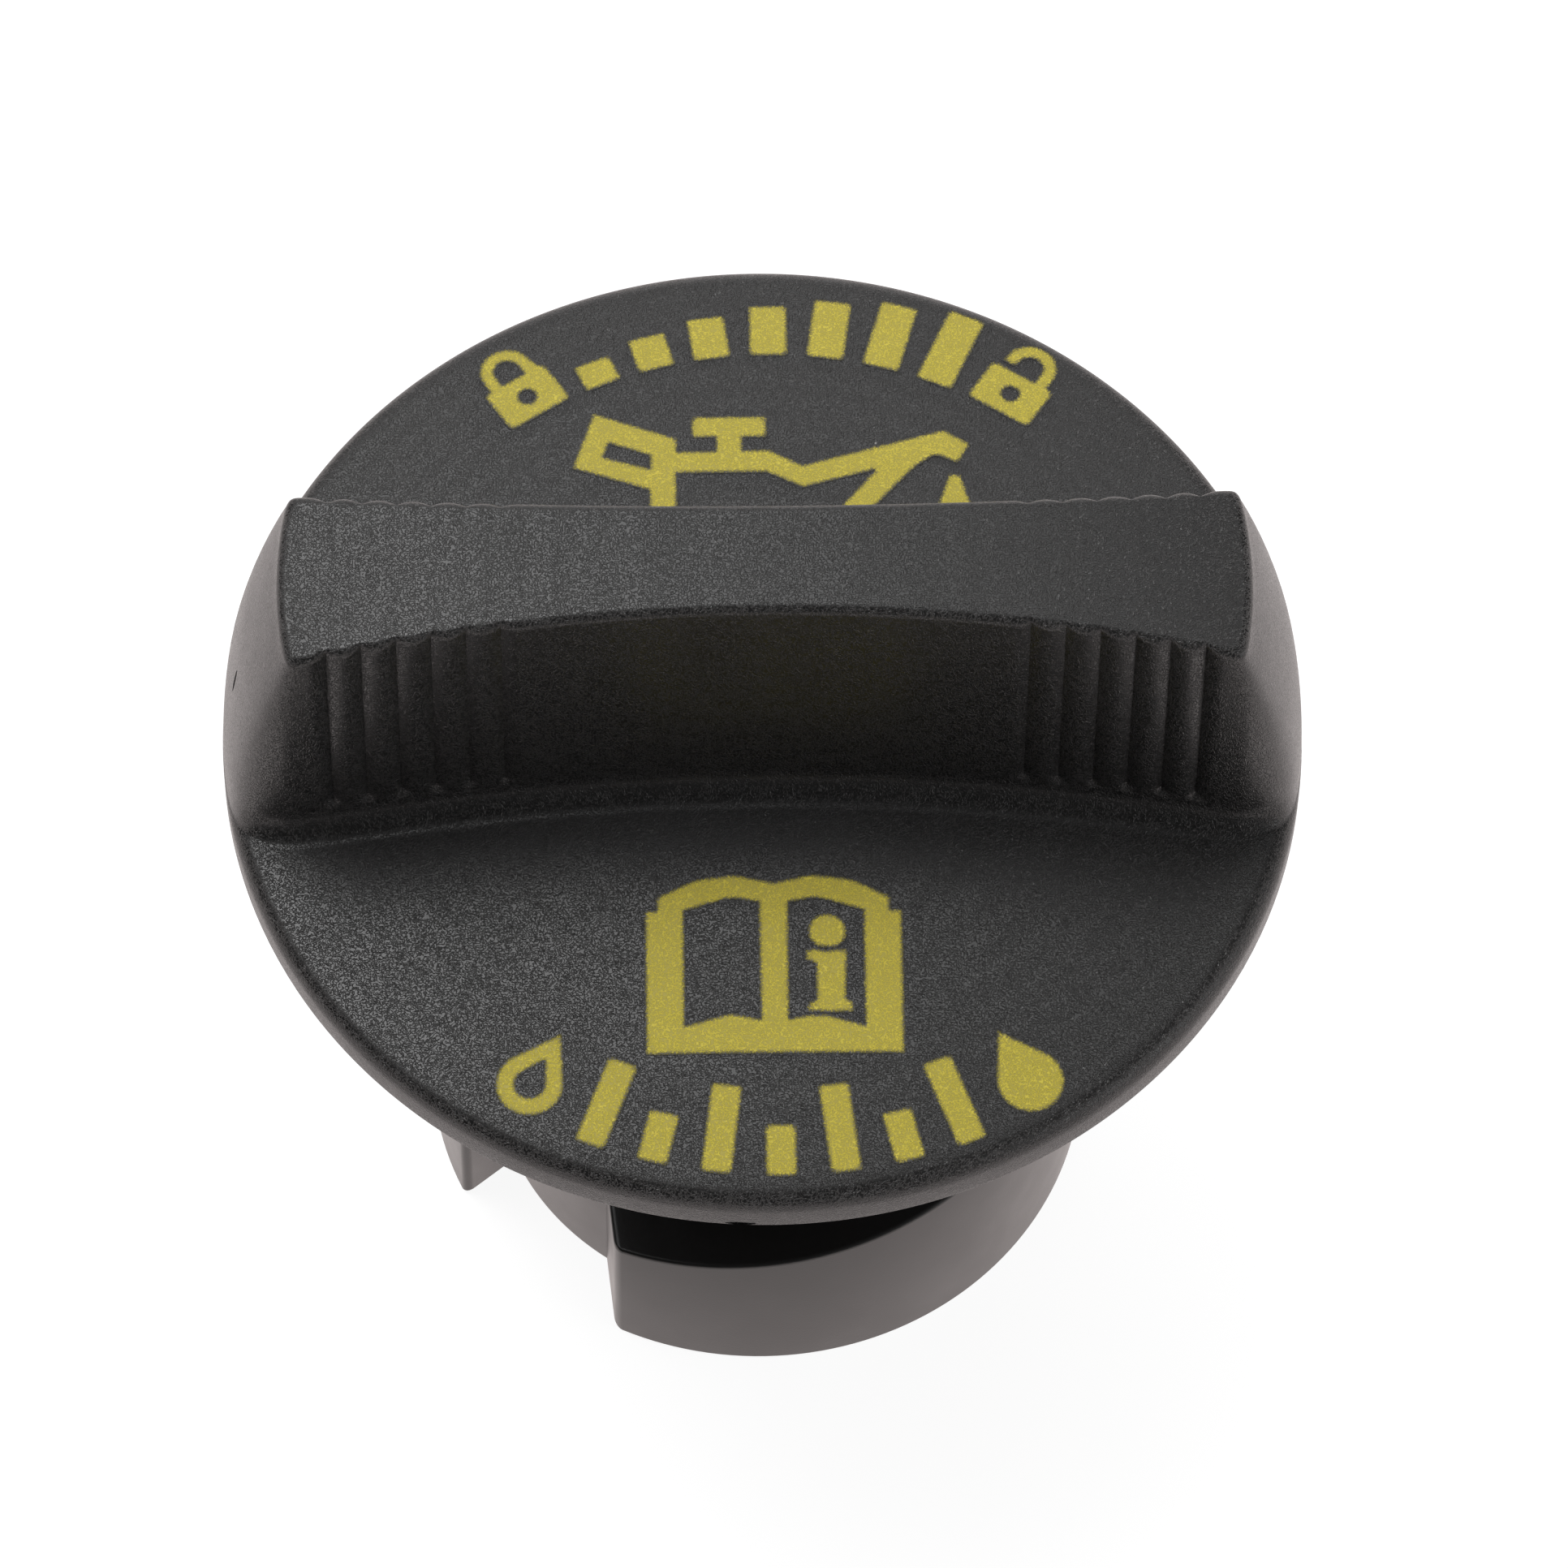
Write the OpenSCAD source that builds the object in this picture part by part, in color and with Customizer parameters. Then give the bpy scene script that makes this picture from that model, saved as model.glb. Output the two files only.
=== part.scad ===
// Oil filler cap: a bayonet cap for the oil filler neck of a car engine.
// Origin at the middle of the stem's foot, +Z up towards the grip, grip along X, millimetres.

/* [Disc] */
// Diameter of the disc over its rim
disc_d = 66; // [62:0.5:74]
// Height of the rim's upright band, with its rolled edge
rim_h = 2.8; // [2.4:0.1:4]
// Radius of the rolled edge between the disc's face and the rim
rim_round = 0.9; // [0.4:0.1:1.2]
// Rise of the disc's face from the rim to the middle
dome_h = 1.7; // [0.8:0.1:3]
// Wall of the disc over the stem's bore
disc_wall = 2.7; // [2.2:0.1:3.4]
// Width of the rim left outside the channel under the disc
rim_wall = 2; // [1.4:0.1:2.4]
// Depth of the channel under the disc
channel_h = 0.8; // [0.4:0.1:1.2]

/* [Grip] */
// Height of the grip's top above the rim, in the middle
grip_h = 19.8; // [15:0.2:26]
// Drop of the crowned top from the middle to the ends
grip_crown = 2.3; // [0.5:0.1:3.5]
// Length of the grip along its top
grip_l = 57.8; // [55:0.2:62]
// Width of the grip across its top, in the middle
waist_w = 7.4; // [6.4:0.1:10]
// Width of the grip across its top, at the ends
end_w = 12; // [10:0.1:14]
// Spread of each side wall from the top down to the disc
grip_draft = 1.7; // [0.5:0.1:2.4]
// Radius of the fillet between the side walls and the disc
grip_fillet = 1.7; // [1:0.1:2.6]
// Radius of the edge round the grip's top
grip_edge = 0.6; // [0.4:0.1:0.9]

/* [Finger lobes] */
// Pitch of the upright lobes
lobe_pitch = 2.08; // [1.8:0.02:2.3]
// Lobes at each end of each side
lobe_count = 6; // [4:1:6]
// Depth of the outermost groove between two lobes
lobe_depth = 0.38; // [0.2:0.02:0.5]
// Depth of the innermost groove between two lobes
lobe_fade = 0.16; // [0.1:0.02:0.3]

/* [Stem] */
// Length of the stem from its foot to the underside of the disc
stem_l = 42.2; // [38:0.2:50]
// Diameter of the stem between the lugs
stem_d = 34.2; // [32:0.2:36]
// Wall of the stem round its bore
stem_wall = 2.7; // [1.8:0.1:4]

/* [Bayonet lugs] */
// Reach of the two lugs from the stem
lug_reach = 4; // [2.4:0.1:5]
// Height of a lug at its leading end
lug_low = 11.2; // [8:0.2:13]
// Height of a lug past its ramp
lug_high = 16.6; // [14:0.2:20]
// Angle over which the lug's top climbs
ramp_span = 80; // [50:1:100]
// Distance of a lug's leading face from the plane through the axis, at the stem
lead_off = 9.85; // [8:0.05:11]
// Turn of the leading face towards that plane
lead_tilt = 6; // [0:1:12]
// Direction of the trailing end of the front lug
trail_a = 26; // [18:1:32]
// Turn of the trailing face away from the radial direction
trail_tilt = 13; // [0:1:20]
// Radius of a lug's upright edges
lug_edge = 0.5; // [0.3:0.1:1]

/* [Seal] */
// Width of the sealing ring's flat body
seal_w = 6.8; // [5:0.1:7.6]
// Thickness of the sealing ring's flat body
seal_h = 2.4; // [1.6:0.1:3]
// Radius of the bead under the sealing ring
bead_r = 1.1; // [0.6:0.1:1.3]
// Clearance between the sealing ring and the stem
seal_gap = 0.25; // [0.15:0.05:0.4]
// Reach of the collar that keeps the sealing ring on the stem
collar_w = 1.1; // [0.8:0.1:1.5]
// Thickness of that collar
collar_h = 1.3; // [1:0.1:2]

/* [Pockets] */
// Width of the slot that hollows the grip above the bore
slot_w = 2.8; // [2:0.1:3.2]
// Wall left between the slot and the grip's top
slot_wall = 2.7; // [2.2:0.1:3.4]
// Distance of the slot's two ends from the wall of the bore
slot_end = 1.6; // [1:0.1:4]
// Width of the pockets in the two ends of the grip
pocket_w = 5; // [3:0.1:5.6]
// Length of those pockets along the grip
pocket_l = 3.2; // [2.6:0.1:4]
// Height of those pockets above the rim
pocket_h = 11; // [5:0.5:12]
// Wall of the grip's leaning ends outside the pockets
pocket_wall = 1.8; // [1.4:0.1:2.2]

/* [Hidden] */
$fn = 128;

disc_r = disc_d / 2;
stem_r = stem_d / 2;
bore_r = stem_r - stem_wall;
lug_r = stem_r + lug_reach;
seal_inner = stem_r + seal_gap;
seal_r = seal_inner + seal_w;
rim_z = stem_l + rim_h;
face_r = disc_r - rim_round;
dome_r = (face_r * face_r + dome_h * dome_h) / (2 * dome_h);
bore_top = rim_z + dome_h - disc_wall;
// The seal's land under the disc ends where the channel begins
channel_in = seal_r + 0.8;
// Play between the sealing ring and the collar under it
collar_gap = 0.3;
// Radius inside the stem's wall where the collar and the lugs begin
root_r = stem_r - stem_wall / 2;
// Length by which a cut runs past the face that it opens
past = 1;
// Corner radius of the pockets
corner_r = 1;
// The lugs' round edges run this far past the circle over the lugs, so that the two cross
edge_past = 0.03;

// The grip is one loft. Its rings climb from inside the disc's face to the crowned top.
grip_half = grip_l / 2;
// The loft stays this far inside the rim's own surface
skin_in = 0.05;
// Depth of the loft's lowest ring below the rim
sunk = 1.2;
// Depth and reach of the skirt that the fillet ends in, under the disc's face
skirt_h = 0.3;
skirt_w = 0.7;
// Height over which the grooves run out above the fillet
groove_foot = 0.5;
foot_r = disc_r - skin_in;
lean = foot_r - grip_half;
lean_power = 1.7;
end_h = grip_h - grip_crown;
// Length of plain wall between the outermost groove and the grip's end
corner_l = 2.8;
lobe_out = grip_half - corner_l + lobe_pitch / 2;
lobe_in = lobe_out - (lobe_count - 0.5) * lobe_pitch;
mid_steps = 6;
lobe_steps = 4;
end_steps = 7;
side_x = concat(
    [for (i = [0:mid_steps - 1]) i * lobe_in / mid_steps],
    [for (i = [0:(lobe_count - 0.5) * lobe_steps]) lobe_in + i * lobe_pitch / lobe_steps]);
side_n = len(side_x);
quarter_n = side_n + end_steps - 1;
ring_n = 4 * quarter_n;
// Sharpness of the outline's corners at the disc and at the top
corner_low = 4;
corner_high = 20;
// Heights of the rings: parts of the fillet, parts of the wall above it, angles of the edge
fillet_levels = [0.05, 0.15, 0.35, 0.65, 1];
wall_levels = [0, 0.2, 0.4, 0.6, 0.8, 1];
edge_levels = [30, 60, 90];

rise = end_h - grip_edge;
wall_foot = grip_fillet + groove_foot;
shares = concat(
    [for (l = fillet_levels) l * grip_fillet / rise],
    [for (l = wall_levels) (wall_foot + (rise - wall_foot) * l) / rise]);

// Height of the disc's face above the rim
function face_z(x, y) = max(0, sqrt(pow(dome_r, 2) - x * x - y * y) - dome_r + dome_h);

// Height of the crowned top above the rim
function top_z(x) = grip_h - grip_crown * pow(x / grip_half, 2);

// Half width of the waisted top
function waist(x) = waist_w / 2 + (end_w - waist_w) / 2 * pow(min(x / grip_half, 1), 2);

// Depth of the grooves between the round lobes, which meet in sharp valleys
function groove(x) =
    let (at = (x - lobe_in) / lobe_pitch,
         off = 2 * abs(at - floor(at) - 0.5),
         deep = lobe_fade + (lobe_depth - lobe_fade) * max(at, 0) / (lobe_count - 1))
    x > lobe_out || at < -0.5 ? 0 : deep * pow(off, at < 0 ? 4 : 2);

// Reach of the round fillet at a height above the disc's face
function flare(h) =
    h >= grip_fillet ? 0 : grip_fillet - sqrt(pow(grip_fillet, 2) - pow(grip_fillet - h, 2));

// Radius of the leaning end at a height above the disc's face
function end_radius(h) = foot_r - lean * pow(h / end_h, lean_power);

// Outline of the grip at station i and height h, at an angle of the edge, let out by extra.
// The edge draws it in and the grooves fade over it, so the top's own outline is plain.
function outline(i, h, turn, extra) =
    let (inset = grip_edge * (1 - cos(turn)),
         re = end_radius(h) - inset,
         far = 90 * (i - side_n + 1) / end_steps,
         x = i < side_n ? side_x[i] : side_x[side_n - 1] + (re - side_x[side_n - 1]) * sin(far),
         show = min(1, max(0, (h - grip_fillet) / groove_foot)) * cos(turn),
         wall = waist(x) + grip_draft * (1 - h / end_h) + flare(h) + extra - inset,
         w = wall - groove(x) * show,
         reach = sqrt(max(re * re - x * x, 0)),
         p = corner_low + (corner_high - corner_low) * h / end_h)
    [x, i == quarter_n ? 0 : w * reach / pow(pow(w, p) + pow(reach, p), 1 / p)];

// Height of a loft point: a share of the way from the fillet's top to the edge, then the edge
function loft_point(i, share, turn, skirt) =
    let (h = share * rise,
         p = outline(i, h, turn, skirt ? skirt_w : 0),
         low = face_z(p[0], p[1]),
         high = top_z(p[0]) - grip_edge)
    [p[0], p[1], skirt ? low - skirt_h : low + (high - low) * share + grip_edge * sin(turn)];

function loft_ring(share, turn, skirt) =
    let (q = [for (i = [0:quarter_n]) loft_point(i, share, turn, skirt)])
    [for (j = [0:ring_n - 1])
        let (k = floor(j / quarter_n), i = j % quarter_n,
             p = q[k % 2 == 0 ? quarter_n - i : i])
        [(k == 0 || k == 3 ? 1 : -1) * p[0], (k < 2 ? 1 : -1) * p[1], p[2]]];

skirt_ring = loft_ring(shares[0], 0, true);
rings = concat(
    [[for (p = skirt_ring) [p[0], p[1], -sunk]], skirt_ring],
    [for (s = shares) loft_ring(s, 0, false)],
    [for (a = edge_levels) loft_ring(1, a, false)]);
ring_count = len(rings);

// Profile of the disc, from the axis to the rim: domed face, rolled edge and upright band
module disc_profile() {
    steps = 14;
    dome = [for (i = [0:steps]) let (x = face_r * i / steps) [x, rim_z + face_z(x, 0)]];
    polygon(concat([[0, stem_l]], dome, [[face_r, stem_l]]));
    translate([0, stem_l]) square([disc_r, rim_h - rim_round]);
    translate([face_r, rim_z - rim_round]) circle(rim_round);
}

module disc() {
    color("#2a2a2b")
    difference() {
        rotate_extrude() disc_profile();
        translate([0, 0, stem_l - past]) difference() {
            cylinder(r = disc_r - rim_wall, h = channel_h + past);
            translate([0, 0, -past]) cylinder(r = channel_in, h = channel_h + 3 * past);
        }
    }
}

module grip() {
    last = ring_count - 1;
    sides = [for (r = [0:last - 1], j = [0:ring_n - 1], t = [0, 1])
        let (a = r * ring_n + j, b = r * ring_n + (j + 1) % ring_n)
        t == 0 ? [a, a + ring_n, b] : [b, a + ring_n, b + ring_n]];
    top = [for (j = [0:ring_n / 2 - 1])
        let (m = last * ring_n, back = (ring_n - j) % ring_n, next = ring_n - j - 1)
        j == 0 ? [m, m + next, m + 1]
        : j == ring_n / 2 - 1 ? [m + j, m + back, m + j + 1]
        : [m + j, m + back, m + next, m + j + 1]];
    color("#2a2a2b")
    translate([0, 0, rim_z])
    polyhedron(
        points = [for (r = rings, p = r) p],
        faces = concat([[for (j = [0:ring_n - 1]) j]], sides, top),
        convexity = 6);
}

module stem() {
    color("#35322f")
    union() {
        cylinder(r = stem_r, h = rim_z);
        collar();
        lug();
        rotate([0, 0, 180]) lug();
    }
}

// Undercut bead that the sealing ring snaps over
module collar() {
    translate([0, 0, stem_l - seal_h - collar_gap - collar_h])
    rotate_extrude()
    polygon([
        [root_r, 0], [stem_r, 0], [stem_r + collar_w, collar_w / 2],
        [stem_r + collar_w, collar_h], [root_r, collar_h]]);
}

// Round edge between the circle over the lugs and a line through a point.
// The line runs outwards at an angle, and side is 1 where the lug lies to its left.
function lug_corner(point, out_a, side) =
    let (steps = 6,
         out = [cos(out_a), sin(out_a)],
         near = point + lug_edge * [cos(out_a + side * 90), sin(out_a + side * 90)],
         along = near * out,
         way = sqrt(along * along - near * near + pow(lug_r - lug_edge + edge_past, 2)) - along,
         centre = near + way * out,
         from = out_a - side * 90,
         to = atan2(centre[1], centre[0]))
    [for (k = [0:steps]) let (a = from + (to - from) * k / steps)
        centre + lug_edge * [cos(a), sin(a)]];

// Plan of the front lug, past the circle over the lugs except at its two edges
module lug_plan() {
    wide = 2 * lug_r;
    lead_a = lead_tilt - 90;
    trail_out = trail_a + trail_tilt;
    lead_root = [-lead_off, -sqrt(stem_r * stem_r - lead_off * lead_off)];
    tip = lug_r * [cos(trail_a), sin(trail_a)];
    lead = lug_corner(lead_root, lead_a, 1);
    trail = lug_corner(tip, trail_out, -1);
    lead_end = lead[len(lead) - 1];
    trail_end = trail[len(trail) - 1];
    root = tip - (lug_r - root_r) / cos(trail_tilt) * [cos(trail_out), sin(trail_out)];
    polygon(concat(
        [lead_root - stem_wall * [cos(lead_a), sin(lead_a)]],
        lead,
        [2 * lead_end, [wide, -wide], 2 * trail_end],
        [for (k = [1:len(trail)]) trail[len(trail) - k]],
        [root]));
}

module lug() {
    difference() {
        intersection() {
            cylinder(r = lug_r, h = lug_high);
            translate([0, 0, -past]) linear_extrude(lug_high + 2 * past) lug_plan();
        }
        above_ramp();
    }
}

// Space above the ramp: the lug's top climbs evenly from the leading face
module above_ramp() {
    steps = 24;
    run_in = 20;
    lead_a = -90 - asin(lead_off / lug_r);
    radii = [root_r, lug_r + past];
    tall = lug_high + past;
    rows = [for (i = [0:steps])
        let (a = lead_a - run_in + i * (ramp_span + run_in) / steps,
             z = lug_low + (lug_high - lug_low) * (a - lead_a) / ramp_span)
        for (level = [z, tall], r = radii) [r * cos(a), r * sin(a), level]];
    strips = [for (i = [0:steps - 1]) let (a = 4 * i, b = a + 4) each [
        [a, a + 1, b + 1], [a, b + 1, b],
        [a + 2, b + 2, b + 3, a + 3],
        [a + 1, a + 3, b + 3, b + 1],
        [a, b, b + 2, a + 2]]];
    last = 4 * steps;
    polyhedron(
        points = rows,
        faces = concat(strips, [[0, 2, 3, 1], [last, last + 1, last + 3, last + 2]]),
        convexity = 4);
}

// Slot with round ends, cut up into the grip from the bore
module grip_slot() {
    half = bore_r - slot_end;
    straight = half - slot_w / 2;
    top = rim_z + top_z(half) - slot_wall;
    translate([0, 0, bore_top - past]) linear_extrude(top - bore_top + past) union() {
        square([2 * straight, slot_w], center = true);
        for (s = [-1, 1]) translate([s * straight, 0]) circle(slot_w / 2);
    }
}

// Pocket in one end of the grip, open to the channel under the disc
module end_pocket() {
    outer = end_radius(pocket_h) - pocket_wall;
    inner = outer - pocket_l;
    side = pocket_w / 2 - corner_r;
    translate([0, 0, stem_l]) linear_extrude(rim_h + pocket_h) union() {
        translate([inner, -side]) square([outer - inner, 2 * side]);
        translate([inner + corner_r, -pocket_w / 2])
            square([outer - inner - 2 * corner_r, pocket_w]);
        for (x = [inner + corner_r, outer - corner_r], y = [-side, side])
            translate([x, y]) circle(corner_r);
    }
}

module cap_body() {
    difference() {
        union() {
            disc();
            grip();
            stem();
        }
        translate([0, 0, -past]) cylinder(r = bore_r, h = bore_top + past);
        grip_slot();
        end_pocket();
        rotate([0, 0, 180]) end_pocket();
    }
}

module sealing_ring() {
    color("#1a1a1c")
    rotate_extrude()
    union() {
        translate([seal_inner, stem_l - seal_h]) square([seal_r - seal_inner, seal_h]);
        translate([(seal_inner + seal_r) / 2, stem_l - seal_h]) circle(bead_r);
    }
}

cap_body();
sealing_ring();
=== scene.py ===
"""Looks of an oil filler cap: a grained moulding with a waisted grip, its sealing ring and its print.

Lengths in the classes are millimetres in the cap's own frame: the axis is Z, the stem's foot lies at
z = 0 and the grip runs along X. Meshes and materials are written in metres.
"""

import logging
from dataclasses import dataclass, field
from enum import Enum
from typing import Sequence

import bmesh
import bpy
import numpy as np
from mathutils import Matrix, Vector
from mathutils.geometry import delaunay_2d_cdt


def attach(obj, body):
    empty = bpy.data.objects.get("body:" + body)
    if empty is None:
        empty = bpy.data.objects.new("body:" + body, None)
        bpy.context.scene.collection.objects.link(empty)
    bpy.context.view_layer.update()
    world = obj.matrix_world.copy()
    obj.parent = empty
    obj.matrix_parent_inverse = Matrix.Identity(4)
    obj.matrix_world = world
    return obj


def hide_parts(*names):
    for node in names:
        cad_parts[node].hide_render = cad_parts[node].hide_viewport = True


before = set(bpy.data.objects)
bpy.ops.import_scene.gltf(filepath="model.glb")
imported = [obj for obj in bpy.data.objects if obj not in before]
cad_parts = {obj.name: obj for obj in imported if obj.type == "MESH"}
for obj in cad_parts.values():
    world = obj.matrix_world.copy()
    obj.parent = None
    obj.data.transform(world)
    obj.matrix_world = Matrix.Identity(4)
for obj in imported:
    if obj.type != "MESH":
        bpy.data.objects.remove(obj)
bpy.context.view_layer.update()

LOG = logging.getLogger("oil_filler_cap")
MM = 0.001
MERGE_M = 1e-7
COLLAPSED_M = 1e-8
TINY_MM = 1e-6
HOLES_OPEN = 2
BODY = "root"
EDGE_DISTANCE = "edge_distance_mm"


class Slot(Enum):
    """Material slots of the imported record."""

    NYLON = "black_nylon"
    RUBBER = "seal_rubber"
    INK = "yellow_print"


class Fuse(Enum):
    """Ways in which one closed mesh changes another."""

    ADD = "UNION"
    CUT = "DIFFERENCE"


def smooth_step(x: np.ndarray) -> np.ndarray:
    """Eases 0 to 1: 3 x squared minus 2 x cubed, held outside that range.

    Args:
        x: Values to ease.

    Returns:
        The eased values.
    """
    t = np.clip(x, 0.0, 1.0)
    return t * t * (3.0 - 2.0 * t)


def rounded_path(points: Sequence[tuple], radii: Sequence[float], steps: int = 6,
                 closed: bool = False) -> np.ndarray:
    """Rounds the corners of an outline with arcs.

    At a corner the arc leaves each side at radius times the tangent of half the turn, and its centre
    lies on the corner's bisector at radius over the cosine of half the turn.

    Args:
        points: Corners of the outline.
        radii: Radius at each corner, 0 for a sharp one.
        steps: Straight pieces in each arc.
        closed: True where the last corner joins the first.

    Returns:
        Array of points, two columns.
    """
    p = np.asarray(points, float)
    out = []
    for i, radius in enumerate(radii):
        inner = closed or 0 < i < len(p) - 1
        if radius <= 0 or not inner:
            out.append(p[i][None])
            continue
        before = p[i] - p[i - 1]
        after = p[(i + 1) % len(p)] - p[i]
        before, after = before / np.linalg.norm(before), after / np.linalg.norm(after)
        turn = np.arctan2(before[0] * after[1] - before[1] * after[0], before @ after)
        reach = radius * np.tan(abs(turn) / 2)
        way = after - before
        centre = p[i] + way / np.linalg.norm(way) * radius / np.cos(turn / 2)
        a = np.linspace(0, turn, steps + 1)[:, None]
        start = p[i] - before * reach - centre
        side = np.array([-start[1], start[0]])
        out.append(centre + np.cos(a) * start + np.sin(a) * side)
    return np.concatenate(out)


def ring_faces(rows: int, columns: int, loop: bool = False) -> np.ndarray:
    """Quads of a grid that is closed round its columns.

    Args:
        rows: Number of rows.
        columns: Points in each row.
        loop: True where the last row joins the first.

    Returns:
        Array of four vertex numbers for each quad.
    """
    r = np.arange(rows if loop else rows - 1)[:, None]
    c = np.arange(columns)[None]
    below, beside = (r + 1) % rows, (c + 1) % columns
    quads = [r * columns + c, below * columns + c, below * columns + beside, r * columns + beside]
    return np.stack(quads, -1).reshape(-1, 4)


def make_object(name: str, points: np.ndarray, faces: list) -> bpy.types.Object:
    """Makes a mesh object from points in millimetres.

    Args:
        name: Name of the object and its mesh.
        points: Three columns.
        faces: Vertex numbers of each face.

    Returns:
        The new object, at the origin.
    """
    mesh = bpy.data.meshes.new(name)
    mesh.from_pydata((points * MM).tolist(), [], faces)
    made = bpy.data.objects.new(name, mesh)
    bpy.context.scene.collection.objects.link(made)
    return made


def closed_grid(name: str, rows: np.ndarray, loop: bool = False,
                caps: bool = False) -> bpy.types.Object:
    """Makes a closed solid from rows of points, merging the rows that fall onto a line or a point.

    Args:
        name: Name of the object.
        rows: Points, as rows by columns by three.
        loop: True where the last row joins the first.
        caps: True to close the first and last rows with a face each.

    Returns:
        The new object, with its faces outwards.
    """
    count, columns = rows.shape[:2]
    faces = ring_faces(count, columns, loop).tolist()
    if caps:
        first, last = np.arange(columns), (count - 1) * columns + np.arange(columns)
        faces += [first.tolist(), last[::-1].tolist()]
    made = make_object(name, rows.reshape(-1, 3), faces)
    clean(made)
    return made


def clean(piece: bpy.types.Object) -> None:
    """Merges points that coincide, drops what is left of collapsed faces and turns all faces outwards.

    Args:
        piece: Object with a closed mesh.
    """
    work = bmesh.new()
    work.from_mesh(piece.data)
    bmesh.ops.remove_doubles(work, verts=work.verts, dist=MERGE_M)
    bmesh.ops.dissolve_degenerate(work, edges=work.edges, dist=COLLAPSED_M)
    bmesh.ops.recalc_face_normals(work, faces=work.faces)
    work.to_mesh(piece.data)
    work.free()


def fuse(base: bpy.types.Object, tool: bpy.types.Object, how: Fuse) -> None:
    """Adds a closed mesh to another or cuts it away, and removes the tool.

    Args:
        base: Object that is changed.
        tool: Object that is added or cut away.
        how: Add or cut.
    """
    cut = base.modifiers.new("fuse", "BOOLEAN")
    cut.operation, cut.solver, cut.object = how.value, "MANIFOLD", tool
    seen = bpy.context.evaluated_depsgraph_get()
    mesh = bpy.data.meshes.new_from_object(base.evaluated_get(seen))
    old = base.data
    base.modifiers.clear()
    base.data = mesh
    mesh.name = base.name
    bpy.data.meshes.remove(old)
    spent = tool.data
    bpy.data.objects.remove(tool)
    bpy.data.meshes.remove(spent)


def finish_mesh(piece: bpy.types.Object, crease_deg: float = 24.0) -> None:
    """Shades a mesh smoothly, with creases where two faces turn by more than an angle.

    Args:
        piece: Object to shade.
        crease_deg: Smallest turn that stays a crease, in degrees.
    """
    piece.data.shade_smooth()
    piece.data.set_sharp_from_angle(angle=float(np.radians(crease_deg)))
    piece.data.update()


def lathe(profile: np.ndarray, angles: np.ndarray) -> np.ndarray:
    """Turns a profile round the axis: x = r cos a, y = r sin a, z = z.

    Args:
        profile: Radius and height of each row.
        angles: Angle of each column, in radians.

    Returns:
        Points, as rows by columns by three.
    """
    r, z = profile[:, :1], profile[:, 1:]
    flat = np.ones_like(angles)[None]
    return np.stack([r * np.cos(angles), r * np.sin(angles), z * flat], -1)


@dataclass
class Disc:
    """The domed disc with its rolled edge and upright rim."""

    radius: float = 33.0
    foot_z: float = 42.2
    rim_h: float = 2.8
    rim_round: float = 1.25
    dome_h: float = 1.7
    wall: float = 2.7
    rim_wall: float = 2.0
    channel_h: float = 0.8
    channel_in: float = 24.95
    edge_round: float = 0.12
    land_round: float = 0.2
    channel_round: float = 0.25
    band_top: float = 0.6
    face_rows: int = 14
    edge_rows: int = 8

    @property
    def rim_z(self) -> float:
        """Height of the plane where the dome starts."""
        return self.foot_z + self.rim_h

    @property
    def roll_r(self) -> float:
        """Radius of the circle on which the rolled edge has its centre."""
        return self.radius - self.rim_round

    @property
    def dome_r(self) -> float:
        """Radius of the sphere that the dome is part of, which touches the rolled edge from inside."""
        return self.rim_round + (self.roll_r ** 2 + self.dome_h ** 2) / (2 * self.dome_h)

    @property
    def face_r(self) -> float:
        """Radius at which the dome turns into the rolled edge."""
        return self.roll_r * self.dome_r / (self.dome_r - self.rim_round)

    @property
    def first_turn(self) -> float:
        """Slope of the dome where the rolled edge starts, in radians."""
        return float(np.arcsin(self.face_r / self.dome_r))

    @property
    def bore_top(self) -> float:
        """Height of the stem's blind bore."""
        return self.rim_z + self.dome_h - self.wall

    def face(self, r: np.ndarray) -> np.ndarray:
        """Height of the face above the rim's plane: a sphere inside, a round at the edge.

        The sphere's height is the root of its radius squared minus r squared, less that radius, plus
        the dome's rise. The round's height is the root of its radius squared minus the square of the
        distance from its centre, less that radius.

        Args:
            r: Distance from the axis.

        Returns:
            Heights.
        """
        dome = np.sqrt(self.dome_r ** 2 - np.minimum(r, self.face_r) ** 2) - self.dome_r + self.dome_h
        out = np.clip(r - self.roll_r, 0, self.rim_round)
        rolled = np.sqrt(self.rim_round ** 2 - out ** 2) - self.rim_round
        return np.where(r < self.face_r, dome, rolled)

    def edge_path(self, s: np.ndarray) -> tuple[np.ndarray, np.ndarray]:
        """Radius and height at a distance along the face, measured from the start of the rolled edge.

        On the rolled edge the turn grows by the distance over the edge's radius. Its sine and its
        cosine less one, times that radius, lead outwards and down from the circle of its centre.

        Args:
            s: Distance, negative on the dome and positive along the rolled edge.

        Returns:
            Radius and height above the rim's plane.
        """
        turn = self.first_turn + np.maximum(s, 0) / self.rim_round
        r = np.where(s < 0, self.face_r + s, self.roll_r + self.rim_round * np.sin(turn))
        rolled = self.rim_round * (np.cos(turn) - 1)
        return r, np.where(s < 0, self.face(np.minimum(r, self.face_r)), rolled)

    def start_of(self, r: np.ndarray) -> np.ndarray:
        """Distance along the face at which it passes a radius, the inverse of edge_path.

        Args:
            r: Distance from the axis.

        Returns:
            Distances from the start of the rolled edge.
        """
        turn = np.arcsin(np.clip((r - self.roll_r) / self.rim_round, 0, 1))
        return np.where(r < self.face_r, r - self.face_r, self.rim_round * (turn - self.first_turn))


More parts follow.
